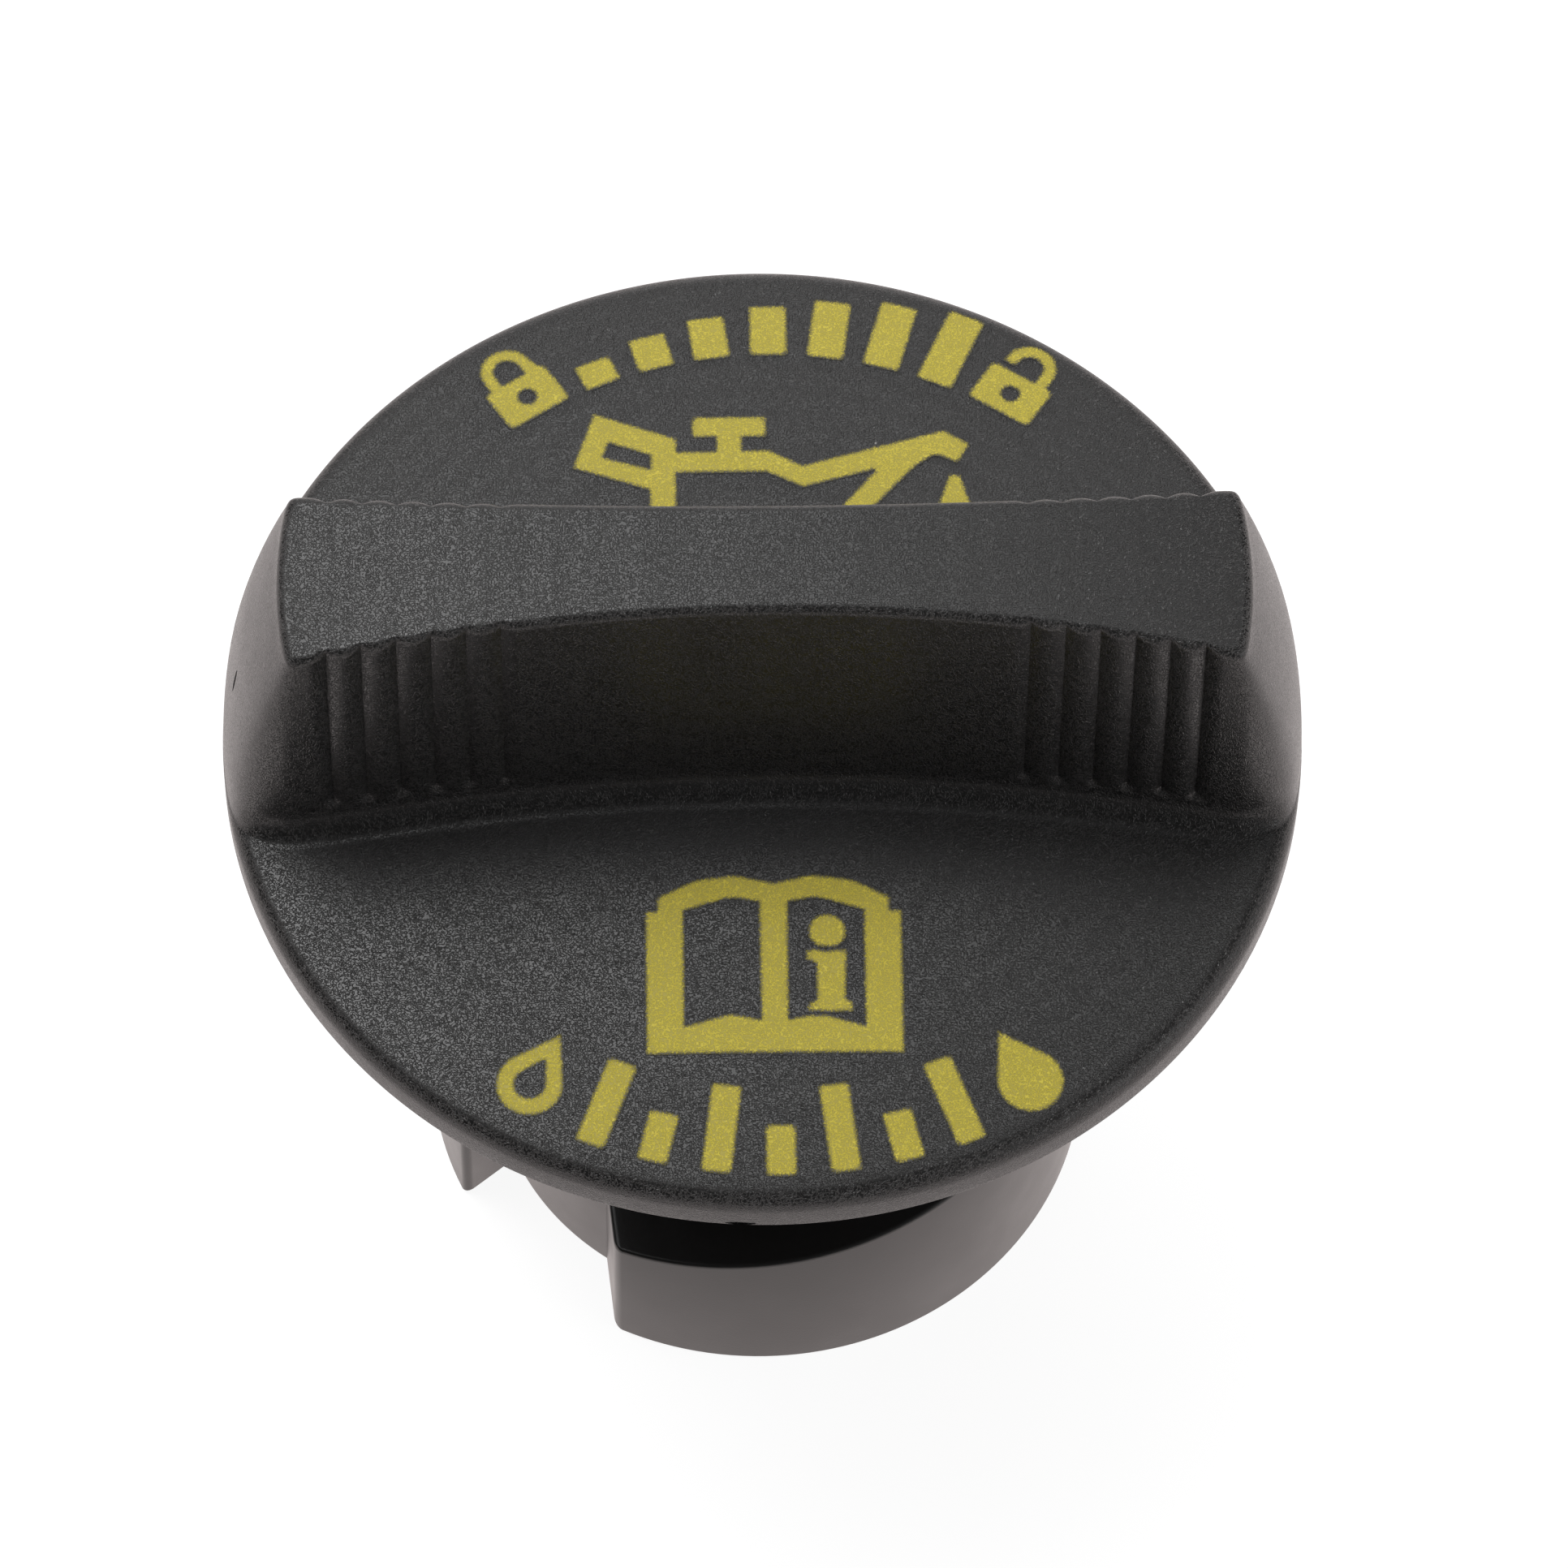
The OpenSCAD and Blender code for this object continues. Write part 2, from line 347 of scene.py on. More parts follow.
@dataclass
class Grip:
    """The upright grip: crowned along its top, waisted in plan, with finger lobes and leaning ends."""

    disc: Disc = field(default_factory=Disc)
    height: float = 19.8
    crown: float = 2.3
    length: float = 57.8
    waist_w: float = 7.4
    end_w: float = 12.0
    draft: float = 1.7
    fillet: float = 1.7
    edge: float = 0.6
    groove_foot: float = 0.5
    lean_power: float = 1.7
    skin_in: float = 0.05
    corner_low: float = 2.8
    corner_high: float = 9.0
    corner_rise: float = 2.5
    corner_l: float = 2.8
    lobe_pitch: float = 2.08
    lobe_count: int = 6
    lobe_depth: float = 0.44
    lobe_fade: float = 0.28
    lobe_power: float = 2.0
    lobe_steps: int = 12
    mid_steps: int = 24
    end_steps: int = 26
    top_rows: int = 8
    round_rows: int = 7
    wall_rows: int = 22
    foot_rows: int = 5
    fillet_rows: int = 12

    def __post_init__(self) -> None:
        """Works out the heights, and the stations along one quarter of the outline."""
        self.half: float = self.length / 2
        self.foot_r: float = self.disc.radius - self.skin_in
        self.end_h: float = self.height - self.crown
        self.rise: float = self.end_h - self.edge
        self.lobe_out: float = self.half - self.corner_l + self.lobe_pitch / 2
        self.lobe_in: float = self.lobe_out - (self.lobe_count - 0.5) * self.lobe_pitch
        plain = self.lobe_in - self.lobe_pitch / 2
        middle = np.linspace(0, plain, self.mid_steps, endpoint=False)
        lobed = np.linspace(plain, self.lobe_out, self.lobe_count * self.lobe_steps + 1)
        self.side_x: np.ndarray = np.concatenate([middle, lobed])
        far = np.pi / 2 * np.arange(1, self.end_steps + 1) / self.end_steps
        self.end_share: np.ndarray = np.sin(far)
        self.quarter: int = len(self.side_x) + self.end_steps - 1
        up, down = np.arange(self.quarter), np.arange(self.quarter, 0, -1)
        self.order: np.ndarray = np.concatenate([down, up, down, up])
        one = np.ones(self.quarter)
        self.sign_x: np.ndarray = np.concatenate([one, -one, -one, one])
        self.sign_y: np.ndarray = np.concatenate([one, one, -one, -one])

    def top(self, x: np.ndarray) -> np.ndarray:
        """Height of the crowned top above the rim's plane, a parabola along the grip."""
        return self.height - self.crown * (x / self.half) ** 2

    def groove(self, x: np.ndarray) -> np.ndarray:
        """Depth of the grooves: zero on a lobe's crest, and a power of the way to the next valley.

        Args:
            x: Distance from the middle.

        Returns:
            Depths, smaller towards the middle.
        """
        at = (x - self.lobe_in) / self.lobe_pitch
        off = 2 * np.abs(at - np.floor(at) - 0.5)
        gain = self.lobe_depth - self.lobe_fade
        depth = self.lobe_fade + gain * np.maximum(at, 0) / (self.lobe_count - 1)
        deep = depth * off ** self.lobe_power
        return np.where((x > self.lobe_out) | (at < -0.5), 0, deep)

    def outline(self, h: float, turn: float) -> tuple[np.ndarray, np.ndarray]:
        """One quarter of the outline at a height above the face.

        The side is the waist plus draft and fillet, less the grooves. The end is an arc about the
        axis. They are joined by their product over the power root of the sum of their powers, and
        that power grows with the height. The rounded edge draws the outline in by its radius times
        one minus the cosine, and the grooves fade with the cosine.

        Args:
            h: Height above the disc's face.
            turn: Angle on the rounded edge, 0 at the wall and a right angle at the top.

        Returns:
            x and y of each station, from the middle of the side to the middle of the end.
        """
        lean = self.foot_r - self.half
        inset = self.edge * (1 - np.cos(turn))
        end_r = self.foot_r - lean * (h / self.end_h) ** self.lean_power - inset
        last = self.side_x[-1]
        x = np.concatenate([self.side_x, last + (end_r - last) * self.end_share])
        shape = np.minimum(x / self.half, 1) ** 2
        waist = self.waist_w / 2 + (self.end_w - self.waist_w) / 2 * shape
        below = max(self.fillet - h, 0)
        flare = self.fillet - np.sqrt(self.fillet ** 2 - below ** 2) if below else 0
        show = min(1, max(0, (h - self.fillet) / self.groove_foot)) * np.cos(turn)
        width = waist + self.draft * (1 - h / self.end_h) + flare - inset - self.groove(x) * show
        reach = np.sqrt(np.maximum(end_r ** 2 - x ** 2, 0))
        sharper = self.corner_high - self.corner_low
        power = self.corner_low + sharper * (h / self.end_h) ** self.corner_rise
        y = width * reach / (width ** power + reach ** power) ** (1 / power)
        y[-1] = 0
        return x, y

    def loft_row(self, share: float, turn: float = 0.0) -> np.ndarray:
        """One closed row of the grip's skin.

        Its height is the share of the way from the face to the rounded edge, plus the edge's radius
        times the sine of the angle on it.

        Args:
            share: Part of the way from the foot of the fillet to the rounded edge.
            turn: Angle on the rounded edge, 0 at the wall and a right angle at the top.

        Returns:
            Points round the grip, in plan order from +X.
        """
        x, y = self.outline(share * self.rise, turn)
        low = self.disc.face(np.hypot(x, y))
        high = self.top(x) - self.edge
        z = low + (high - low) * share + self.edge * np.sin(turn)
        quarter = np.stack([x, y, z + self.disc.rim_z], -1)
        signs = np.stack([self.sign_x, self.sign_y, np.ones_like(self.sign_x)], -1)
        return quarter[self.order] * signs

    def rows(self) -> np.ndarray:
        """Rows of the grip's skin, from the middle line of its top down to the disc's face.

        The top's rows are the upper outline with its width times a share, which is a sine so that the
        rows close up at the edge.

        Returns:
            Points, as rows by columns by three.
        """
        rim = self.loft_row(1, np.pi / 2)
        spread = np.sin(np.pi / 2 * np.arange(self.top_rows) / self.top_rows)
        top = [rim * [1, s, 1] for s in spread]
        turns = np.linspace(np.pi / 2, 0, self.round_rows + 1)
        edge = [self.loft_row(1, t) for t in turns]
        run_out = self.fillet + self.groove_foot
        wall = np.linspace(self.rise, run_out, self.wall_rows)[1:]
        foot = np.linspace(run_out, self.fillet, self.foot_rows + 1)[1:]
        curve = self.fillet * (1 - np.cos(np.linspace(np.pi / 2, 0, self.fillet_rows + 1)))[1:]
        heights = np.concatenate([wall, foot, curve])
        return np.array(top + edge + [self.loft_row(h / self.rise) for h in heights])


@dataclass
class Stem:
    """The hollow stem with its collar, from under the disc to the foot."""

    radius: float = 17.1
    wall: float = 2.7
    collar_w: float = 1.1
    collar_h: float = 1.3
    collar_gap: float = 0.3
    collar_round: float = 0.2
    taper_round: float = 0.3
    seal_h: float = 2.4
    foot_round: float = 0.3
    mouth_round: float = 0.25
    corner_round: float = 0.4

    @property
    def bore_r(self) -> float:
        """Radius of the blind bore."""
        return self.radius - self.wall

    @property
    def root_r(self) -> float:
        """Radius inside the wall at which added shapes begin."""
        return self.radius - self.wall / 2


@dataclass
class Lug:
    """A bayonet lug: its top climbs as a helix between a leading and a trailing face."""

    stem: Stem = field(default_factory=Stem)
    reach: float = 4.0
    low: float = 11.2
    high: float = 16.6
    ramp_deg: float = 80.0
    lead_off: float = 9.85
    lead_tilt_deg: float = 6.0
    trail_deg: float = 26.0
    trail_tilt_deg: float = 13.0
    upright_round: float = 0.5
    long_round: float = 0.3
    end_round: float = 0.15
    stations: int = 72
    round_steps: int = 6

    @property
    def radius(self) -> float:
        """Radius over the lugs."""
        return self.stem.radius + self.reach

    @staticmethod
    def crossing(point: tuple, out_a: float, r: np.ndarray) -> np.ndarray:
        """Angle at which a line through a point crosses circles about the axis.

        The way along the line to radius r is minus p.u plus the root of (p.u) squared + r squared -
        p squared, where p is the point and u the line's direction.

        Args:
            point: A point of the line.
            out_a: Direction in which the line runs outwards, in radians.
            r: Radii.

        Returns:
            Angles in radians.
        """
        (x, y), u, v = point, np.cos(out_a), np.sin(out_a)
        along = x * u + y * v
        way = np.sqrt(along ** 2 + r ** 2 - x * x - y * y) - along
        return np.arctan2(y + way * v, x + way * u)

    def lead(self, r: np.ndarray) -> np.ndarray:
        """Angle of the leading face at a radius, from the point where it leaves the stem."""
        root = (-self.lead_off, -np.sqrt(self.stem.radius ** 2 - self.lead_off ** 2))
        return self.crossing(root, np.radians(self.lead_tilt_deg - 90), r)

    def trail(self, r: np.ndarray) -> np.ndarray:
        """Angle of the trailing face at a radius, from its tip on the outer circle.

        Args:
            r: Radii.

        Returns:
            Angles in radians.
        """
        at = np.radians(self.trail_deg)
        tip = (self.radius * np.cos(at), self.radius * np.sin(at))
        return self.crossing(tip, at + np.radians(self.trail_tilt_deg), r)

    def section(self, drawn: float) -> np.ndarray:
        """Radius, share of the top's height and offset in height, round one section of the lug.

        Its two outer corners are quarter rounds: radius times sine outwards, and times one minus the
        cosine away from the foot or the top.

        Args:
            drawn: Distance by which the outer side is drawn in, from 0 to the upright edges' radius.

        Returns:
            Three columns, from the foot inside the stem's wall round to the top inside it.
        """
        inner, outer = self.stem.root_r, self.radius - drawn
        lift = drawn * self.end_round / self.upright_round
        turn = np.linspace(0, np.pi / 2, self.round_steps + 1)
        r = outer - self.long_round * (1 - np.sin(turn))
        z = self.long_round * (1 - np.cos(turn)) + lift
        low = np.column_stack([r, np.zeros_like(r), z])
        high = np.column_stack([r, np.ones_like(r), -z])[::-1]
        return np.concatenate([[[inner, 0, lift]], low, high, [[inner, 1, -lift]]])

    def rows(self) -> np.ndarray:
        """Sections from the leading to the trailing face, drawn in at both ends to round their edges.

        Each section's angle is a share of the way between the faces, plus a distance over the radius.
        Its top climbs from the low to the high end in proportion to the angle.

        Returns:
            Points, as sections by points by three.
        """
        turns = np.linspace(np.pi / 2, 0, self.round_steps + 1)
        near = self.upright_round * (1 - np.sin(turns))
        drawn = self.upright_round * (1 - np.cos(turns))
        middle = np.linspace(0, 1, self.stations)[1:-1]
        spans = np.concatenate([np.zeros_like(near), middle, np.ones_like(near)])
        ways = np.concatenate([near, self.upright_round * (1 - 2 * middle), -near[::-1]])
        insets = np.concatenate([drawn, np.zeros_like(middle), drawn[::-1]])
        ramp_start = -np.pi / 2 - np.arcsin(self.lead_off / self.radius)
        rows = []
        for span, way, inset in zip(spans, ways, insets):
            r, share, offset = self.section(inset).T
            start, stop = self.lead(r), self.trail(r)
            angle = start + (stop - start) * span + way / r
            ramp = np.clip((angle - ramp_start) / np.radians(self.ramp_deg), 0, 1)
            z = share * (self.low + (self.high - self.low) * ramp) + offset
            rows.append(np.stack([r * np.cos(angle), r * np.sin(angle), z], -1))
        return np.array(rows)


@dataclass
class Hollows:
    """The slot above the bore and the two pockets in the grip's ends."""

    slot_w: float = 2.8
    slot_wall: float = 2.7
    slot_end: float = 1.6
    pocket_w: float = 5.0
    pocket_l: float = 3.2
    pocket_h: float = 11.0
    pocket_wall: float = 1.8
    corner: float = 1.0
    corner_steps: int = 8
    slot_flat: float = 0.01
    past: float = 1.0

    @staticmethod
    def prism(name: str, outline: np.ndarray, low: float, high: float) -> bpy.types.Object:
        """Extrudes an outline along Z between two heights.

        Args:
            name: Name of the object.
            outline: Points of the outline.
            low: Height of its lower end.
            high: Height of its upper end.

        Returns:
            The closed solid.
        """
        rows = [np.column_stack([outline, np.full(len(outline), z)]) for z in (high, low)]
        return closed_grid(name, np.array(rows), caps=True)

    def box_outline(self, x0: float, x1: float, half_w: float, radius: float) -> np.ndarray:
        """Outline of a box with round corners, from x0 to x1 and as wide on both sides of X."""
        corners = [(x0, -half_w), (x1, -half_w), (x1, half_w), (x0, half_w)]
        return rounded_path(corners, [radius] * 4, self.corner_steps, closed=True)

    def solids(self, disc: Disc, grip: Grip, stem: Stem) -> list[bpy.types.Object]:
        """Makes the solids that are cut away.

        Args:
            disc: The disc.
            grip: The grip.
            stem: The stem.

        Returns:
            The slot and the two pockets.
        """
        half = stem.bore_r - self.slot_end
        slot_top = disc.rim_z + grip.top(np.array(half)) - self.slot_wall
        slot = self.box_outline(-half, half, self.slot_w / 2, self.slot_w / 2 - self.slot_flat)
        lean = (grip.foot_r - grip.half) * (self.pocket_h / grip.end_h) ** grip.lean_power
        outer = grip.foot_r - lean - self.pocket_wall
        pocket = self.box_outline(outer - self.pocket_l, outer, self.pocket_w / 2, self.corner)
        made = [self.prism("slot", slot, disc.bore_top - self.past, float(slot_top))]
        low, high = disc.foot_z - self.past, disc.rim_z + self.pocket_h
        for side in (1, -1):
            made.append(self.prism("pocket", pocket * side, low, high))
        return made


@dataclass(frozen=True)
class Pit:
    """A small hollow in the moulding's surface: an ellipsoid with three half-axes, in millimetres."""

    centre: tuple
    axes: tuple
    rows: int = 16
    columns: int = 24

    def solid(self) -> bpy.types.Object:
        """Makes the ellipsoid: the centre plus x, y and z of a unit ball times the three half-axes.

        Returns:
            The closed solid.
        """
        turn = np.linspace(0, np.pi, self.rows + 1)
        angles = np.linspace(0, 2 * np.pi, self.columns, endpoint=False)
        ball = lathe(np.stack([np.sin(turn), np.cos(turn)], -1), angles)
        return closed_grid("pit", ball @ np.array(self.axes) + self.centre)


@dataclass
class Moulding:
    """The whole moulded cap: one skin over disc, grip and stem, fused with its lugs and cored out."""

    disc: Disc = field(default_factory=Disc)
    stem: Stem = field(default_factory=Stem)
    hollows: Hollows = field(default_factory=Hollows)
    gate: Pit = Pit((-31.97, -1.08, 52.45),
                    ((0.7, 0.0, 0.0), (0.0, 0.19, -0.058), (0.17, 0.25, 0.825)))
    nick: Pit = Pit((-1.75, -33.0, 42.42),
                    ((0.95, 0.0, 0.0), (0.0, 0.45, 0.0), (0.0, 0.0, 0.16)))
    corner_steps: int = 4
    end_ease_r: float = 29.0
    edge_share: float = 0.25

    def under_profile(self) -> np.ndarray:
        """The skin's profile from the rim's upright band to the middle of the bore's roof.

        Returns:
            Radius and height of each row.
        """
        d, s = self.disc, self.stem
        channel_z = d.foot_z + d.channel_h
        collar_z = d.foot_z - s.seal_h - s.collar_gap
        collar_r = s.radius + s.collar_w
        corners = [
            (d.radius, d.rim_z - d.rim_round - d.band_top, 0), (d.radius, d.foot_z, d.edge_round),
            (d.radius - d.rim_wall, d.foot_z, d.land_round),
            (d.radius - d.rim_wall, channel_z, d.channel_round),
            (d.channel_in, channel_z, d.channel_round), (d.channel_in, d.foot_z, d.land_round),
            (s.radius, d.foot_z, 0), (s.radius, collar_z, 0), (collar_r, collar_z, s.collar_round),
            (collar_r, collar_z - s.collar_h + s.collar_w / 2, s.taper_round),
            (s.radius, collar_z - s.collar_h, 0), (s.radius, 0, s.foot_round),
            (s.bore_r, 0, s.mouth_round), (s.bore_r, d.bore_top, s.corner_round), (0, d.bore_top, 0)]
        return rounded_path([c[:2] for c in corners], [c[2] for c in corners], self.corner_steps)

    def skin(self, grip: Grip) -> np.ndarray:
        """Rows of the skin, from the middle line of the grip's top to the middle of the bore's roof.

        Below the grip each column leaves the fillet's foot, crosses the face and turns over the rolled
        edge. Its radius follows the face and its angle eases to the column's place on the rim.

        Args:
            grip: The grip.

        Returns:
            Points, as rows by columns by three.
        """
        d = self.disc
        upper = grip.rows()
        foot = upper[-1]
        foot_r, foot_a = np.hypot(foot[:, 0], foot[:, 1]), np.arctan2(foot[:, 1], foot[:, 0])
        across = np.sqrt(np.maximum(d.radius ** 2 - foot[:, 0] ** 2, 0)) * grip.sign_y
        rim_a = np.arctan2(across, foot[:, 0])
        near_end = smooth_step((foot_r - self.end_ease_r) / (grip.foot_r - self.end_ease_r))
        rim_a = rim_a + (foot_a - rim_a) * near_end
        start = d.start_of(foot_r)
        stop = d.rim_round * (np.pi / 2 - d.first_turn)
        split = np.maximum(0, start + (stop - start) * self.edge_share)
        k = np.arange(1, d.face_rows + 1)[:, None] / d.face_rows
        e = np.arange(1, d.edge_rows + 1)[:, None] / d.edge_rows
        s = np.concatenate([start + (split - start) * k, split + (stop - split) * e])
        r, z = d.edge_path(s)
        ease = smooth_step((s - start) / np.maximum(split - start, TINY_MM))
        a = foot_a + (rim_a - foot_a) * ease
        face = np.stack([r * np.cos(a), r * np.sin(a), z + d.rim_z], -1)
        return np.concatenate([upper, face, lathe(self.under_profile(), rim_a)])

    def build(self) -> bpy.types.Object:
        """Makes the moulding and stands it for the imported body.

        Returns:
            The moulding.
        """
        grip = Grip(self.disc)
        piece = closed_grid("cap_moulding", self.skin(grip))
        lug = Lug(self.stem)
        for turn in (1, -1):
            rows = lug.rows() * [turn, turn, 1]
            fuse(piece, closed_grid("lug", rows, caps=True), Fuse.ADD)
        cuts = self.hollows.solids(self.disc, grip, self.stem)
        cuts += [self.gate.solid(), self.nick.solid()]
        for solid in cuts:
            fuse(piece, solid, Fuse.CUT)
        finish_mesh(piece)
        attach(piece, BODY)
        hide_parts("cap_body")
        return piece


@dataclass
class SealingRing:
    """The rubber ring under the disc, with a bead on its underside."""

    disc: Disc = field(default_factory=Disc)
    stem: Stem = field(default_factory=Stem)
    gap: float = 0.25
    width: float = 6.8
    bead_r: float = 1.1
    corner: float = 0.3
    land_gap: float = 0.005
    crease_deg: float = 32.0
    columns: int = 160
    corner_steps: int = 5
    bead_steps: int = 18

    def section(self) -> np.ndarray:
        """Closed section of the ring: a flat body with round corners and a half-round bead below.

        Returns:
            Radius and height of each point.
        """
        inner, top = self.stem.radius + self.gap, self.disc.foot_z - self.land_gap
        low, outer = self.disc.foot_z - self.stem.seal_h, inner + self.width
        body = rounded_path([(inner, low), (inner, top), (outer, top), (outer, low)],
                            [self.corner] * 4, self.corner_steps, closed=True)
        a = np.linspace(0, -np.pi, self.bead_steps + 1)
        r = (inner + outer) / 2 + self.bead_r * np.cos(a)
        bead = np.column_stack([r, low + self.bead_r * np.sin(a)])
        return np.concatenate([body, bead])

    def build(self) -> bpy.types.Object:
        """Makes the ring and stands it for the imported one.

        Returns:
            The ring.
        """
        angles = np.linspace(0, 2 * np.pi, self.columns, endpoint=False)
        piece = closed_grid("seal_ring", lathe(self.section(), angles), loop=True)
        finish_mesh(piece, self.crease_deg)
        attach(piece, BODY)
        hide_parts("sealing_ring")
        return piece


@dataclass(frozen=True)
class Mark:
    """A printed mark: one outer outline and the holes in it, in the plan of the disc."""

    outer: np.ndarray
    holes: tuple = ()

    def moved(self, turn: float, shift: tuple) -> "Mark":
        """The mark turned about the axis and then shifted.

        Args:
            turn: Angle in radians.
            shift: Way along x and y.

        Returns:
            The moved mark.
        """
        c, s = np.cos(turn), np.sin(turn)
        spin = np.array([[c, s], [-s, c]])
        return Mark(self.outer @ spin + shift, tuple(h @ spin + shift for h in self.holes))


def circle(x: float, y: float, r: float, count: int = 28, start: float = 0.0,
           sweep: float = 2 * np.pi) -> np.ndarray:
    """Points on an arc about x, y: x + r cos a and y + r sin a.

    Args:
        x: Centre.
        y: Centre.
        r: Radius.
        count: Number of points.
        start: Angle of the first point, in radians.
        sweep: Angle to the last point, or a full turn for the whole circle.

    Returns:
        The points.
    """
    a = start + sweep * np.arange(count) / (count if sweep >= 2 * np.pi else count - 1)
    return np.column_stack([x + r * np.cos(a), y + r * np.sin(a)])


def densify(loop: np.ndarray, step: float) -> np.ndarray:
    """Adds points along a closed outline so that none of its sides is longer than a step.

    Each side gets its points at even shares of the way between its ends.

    Args:
        loop: Points of the outline.
        step: Longest side.

    Returns:
        The outline with more points.
    """
    after = np.roll(loop, -1, axis=0)
    counts = np.maximum(np.ceil(np.linalg.norm(after - loop, axis=1) / step).astype(int), 1)
    owner = np.repeat(np.arange(len(loop)), counts)
    first = np.repeat(np.cumsum(counts) - counts, counts)
    t = ((np.arange(counts.sum()) - first) / counts[owner])[:, None]
    return loop[owner] * (1 - t) + after[owner] * t


def grown(loop: np.ndarray, by: float) -> np.ndarray:
    """Moves a closed outline outwards.

    Each corner moves by the sum of its two sides' normals over one plus their dot product.

    Args:
        loop: Points of the outline, in either direction.
        by: Distance, negative to shrink the outline.

    Returns:
        The moved outline.
    """
    side = np.roll(loop, -1, axis=0) - loop
    size = np.linalg.norm(side, axis=1)
    real = size > TINY_MM
    loop, side = loop[real], side[real] / size[real, None]
    out = np.column_stack([side[:, 1], -side[:, 0]])
    before = np.roll(out, 1, axis=0)
    x, y = loop.T
    area = np.sum(x * np.roll(y, -1) - y * np.roll(x, -1))
    shift = (out + before) / (1 + np.sum(out * before, axis=1))[:, None]
    return loop + np.sign(area) * by * shift


def inner_points(loops: list[np.ndarray], spacing: float,
                 clearance: float = 0.4) -> tuple[np.ndarray, np.ndarray]:
    """Finds the points of a square grid that lie inside a set of outlines, clear of the edge.

    A point is inside where a line from it to the right crosses the outlines an odd number of times.
    Its distance is that to the nearest side: the length left when the way along the side is taken off.

    Args:
        loops: Outer outlines and holes.
        spacing: Spacing of the grid.
        clearance: Share of the spacing within which a point is too near the edge.

    Returns:
        The points, and the distance of each from the nearest outline.
    """
    a = np.concatenate(loops)
    b = np.concatenate([np.roll(loop, -1, axis=0) for loop in loops])
    spans = [np.arange(low, high, spacing) for low, high in zip(a.min(0), a.max(0))]
    grid = np.stack(np.meshgrid(*spans), -1).reshape(-1, 2)
    x, y = grid[:, :1], grid[:, 1:]
    rise = np.where(a[:, 1] == b[:, 1], 1.0, b[:, 1] - a[:, 1])
    cross_x = a[:, 0] + (y - a[:, 1]) * (b[:, 0] - a[:, 0]) / rise
    hits = ((a[:, 1] > y) != (b[:, 1] > y)) & (x < cross_x)
    grid = grid[hits.sum(1) % 2 == 1]
    side = b - a
    way = grid[:, None] - a
    along = np.clip(np.sum(way * side, -1) / np.sum(side ** 2, -1), 0, 1)
    distance = np.linalg.norm(way - along[..., None] * side, axis=-1).min(1)
    clear = distance > spacing * clearance
    return grid[clear], distance[clear]


@dataclass(frozen=True)
class Padlock:
    """The sign of a padlock with a keyhole, standing on its base line."""

    width: float = 4.3
    body_h: float = 3.1
    shackle_r: float = 1.65
    shackle_in_r: float = 0.85
    closed_lift: float = 0.8
    open_lift: float = 0.85
    free_h: float = 0.5
    corner: float = 0.3
    keyhole_h: float = 1.55
    keyhole_r: float = 0.6

    def mark(self, is_open: bool) -> Mark:
        """Draws it with its shackle down, or raised and free on one side.

        Args:
            is_open: True for the raised shackle.

        Returns:
            The mark.
        """
        half, foot, out_r, in_r = self.width / 2, self.body_h, self.shackle_r, self.shackle_in_r
        bow_h = foot + (self.open_lift if is_open else self.closed_lift)
        bow_out = circle(0, bow_h, out_r, 15, 0, np.pi)
        bow_in = circle(0, bow_h, in_r, 11, np.pi, -np.pi)
        corners = [(-half, foot), (-half, 0), (half, 0), (half, foot)]
        left, right = np.split(rounded_path(corners, [self.corner] * 4, 3, closed=True), 2)
        keyhole = circle(0, self.keyhole_h, self.keyhole_r, 18)
        if not is_open:
            outer = np.concatenate([right, bow_out, [(-out_r, foot)], left])
            shackle = np.concatenate([[(in_r, foot)], bow_in[::-1], [(-in_r, foot)]])
            return Mark(outer, (shackle, keyhole))
        hook = [(-out_r, foot + self.free_h), (-in_r, foot + self.free_h)]
        outer = np.concatenate([right, [(out_r, foot)], bow_out, hook, bow_in, [(in_r, foot)], left])
        return Mark(outer, (keyhole,))


@dataclass(frozen=True)
class Drop:
    """The sign of a drop with its point up, standing on its base line."""

    radius: float = 2.0
    height: float = 5.6
    inner_r: float = 0.95
    inner_h: float = 3.9
    start: float = 0.86 * np.pi
    sweep: float = 1.28 * np.pi

    def mark(self, filled: bool) -> Mark:
        """Draws it as an arc below two straight sides.

        Args:
            filled: True for a full drop, False for its outline.

        Returns:
            The mark.
        """
        outer = circle(0, self.radius, self.radius, 26, self.start, self.sweep)
        inner = circle(0, self.radius, self.inner_r, 18, self.start, self.sweep)
        outer = np.concatenate([outer, [[0.0, self.height]]])
        inner = np.concatenate([inner, [[0.0, self.inner_h]]])
        return Mark(outer) if filled else Mark(outer, (inner,))


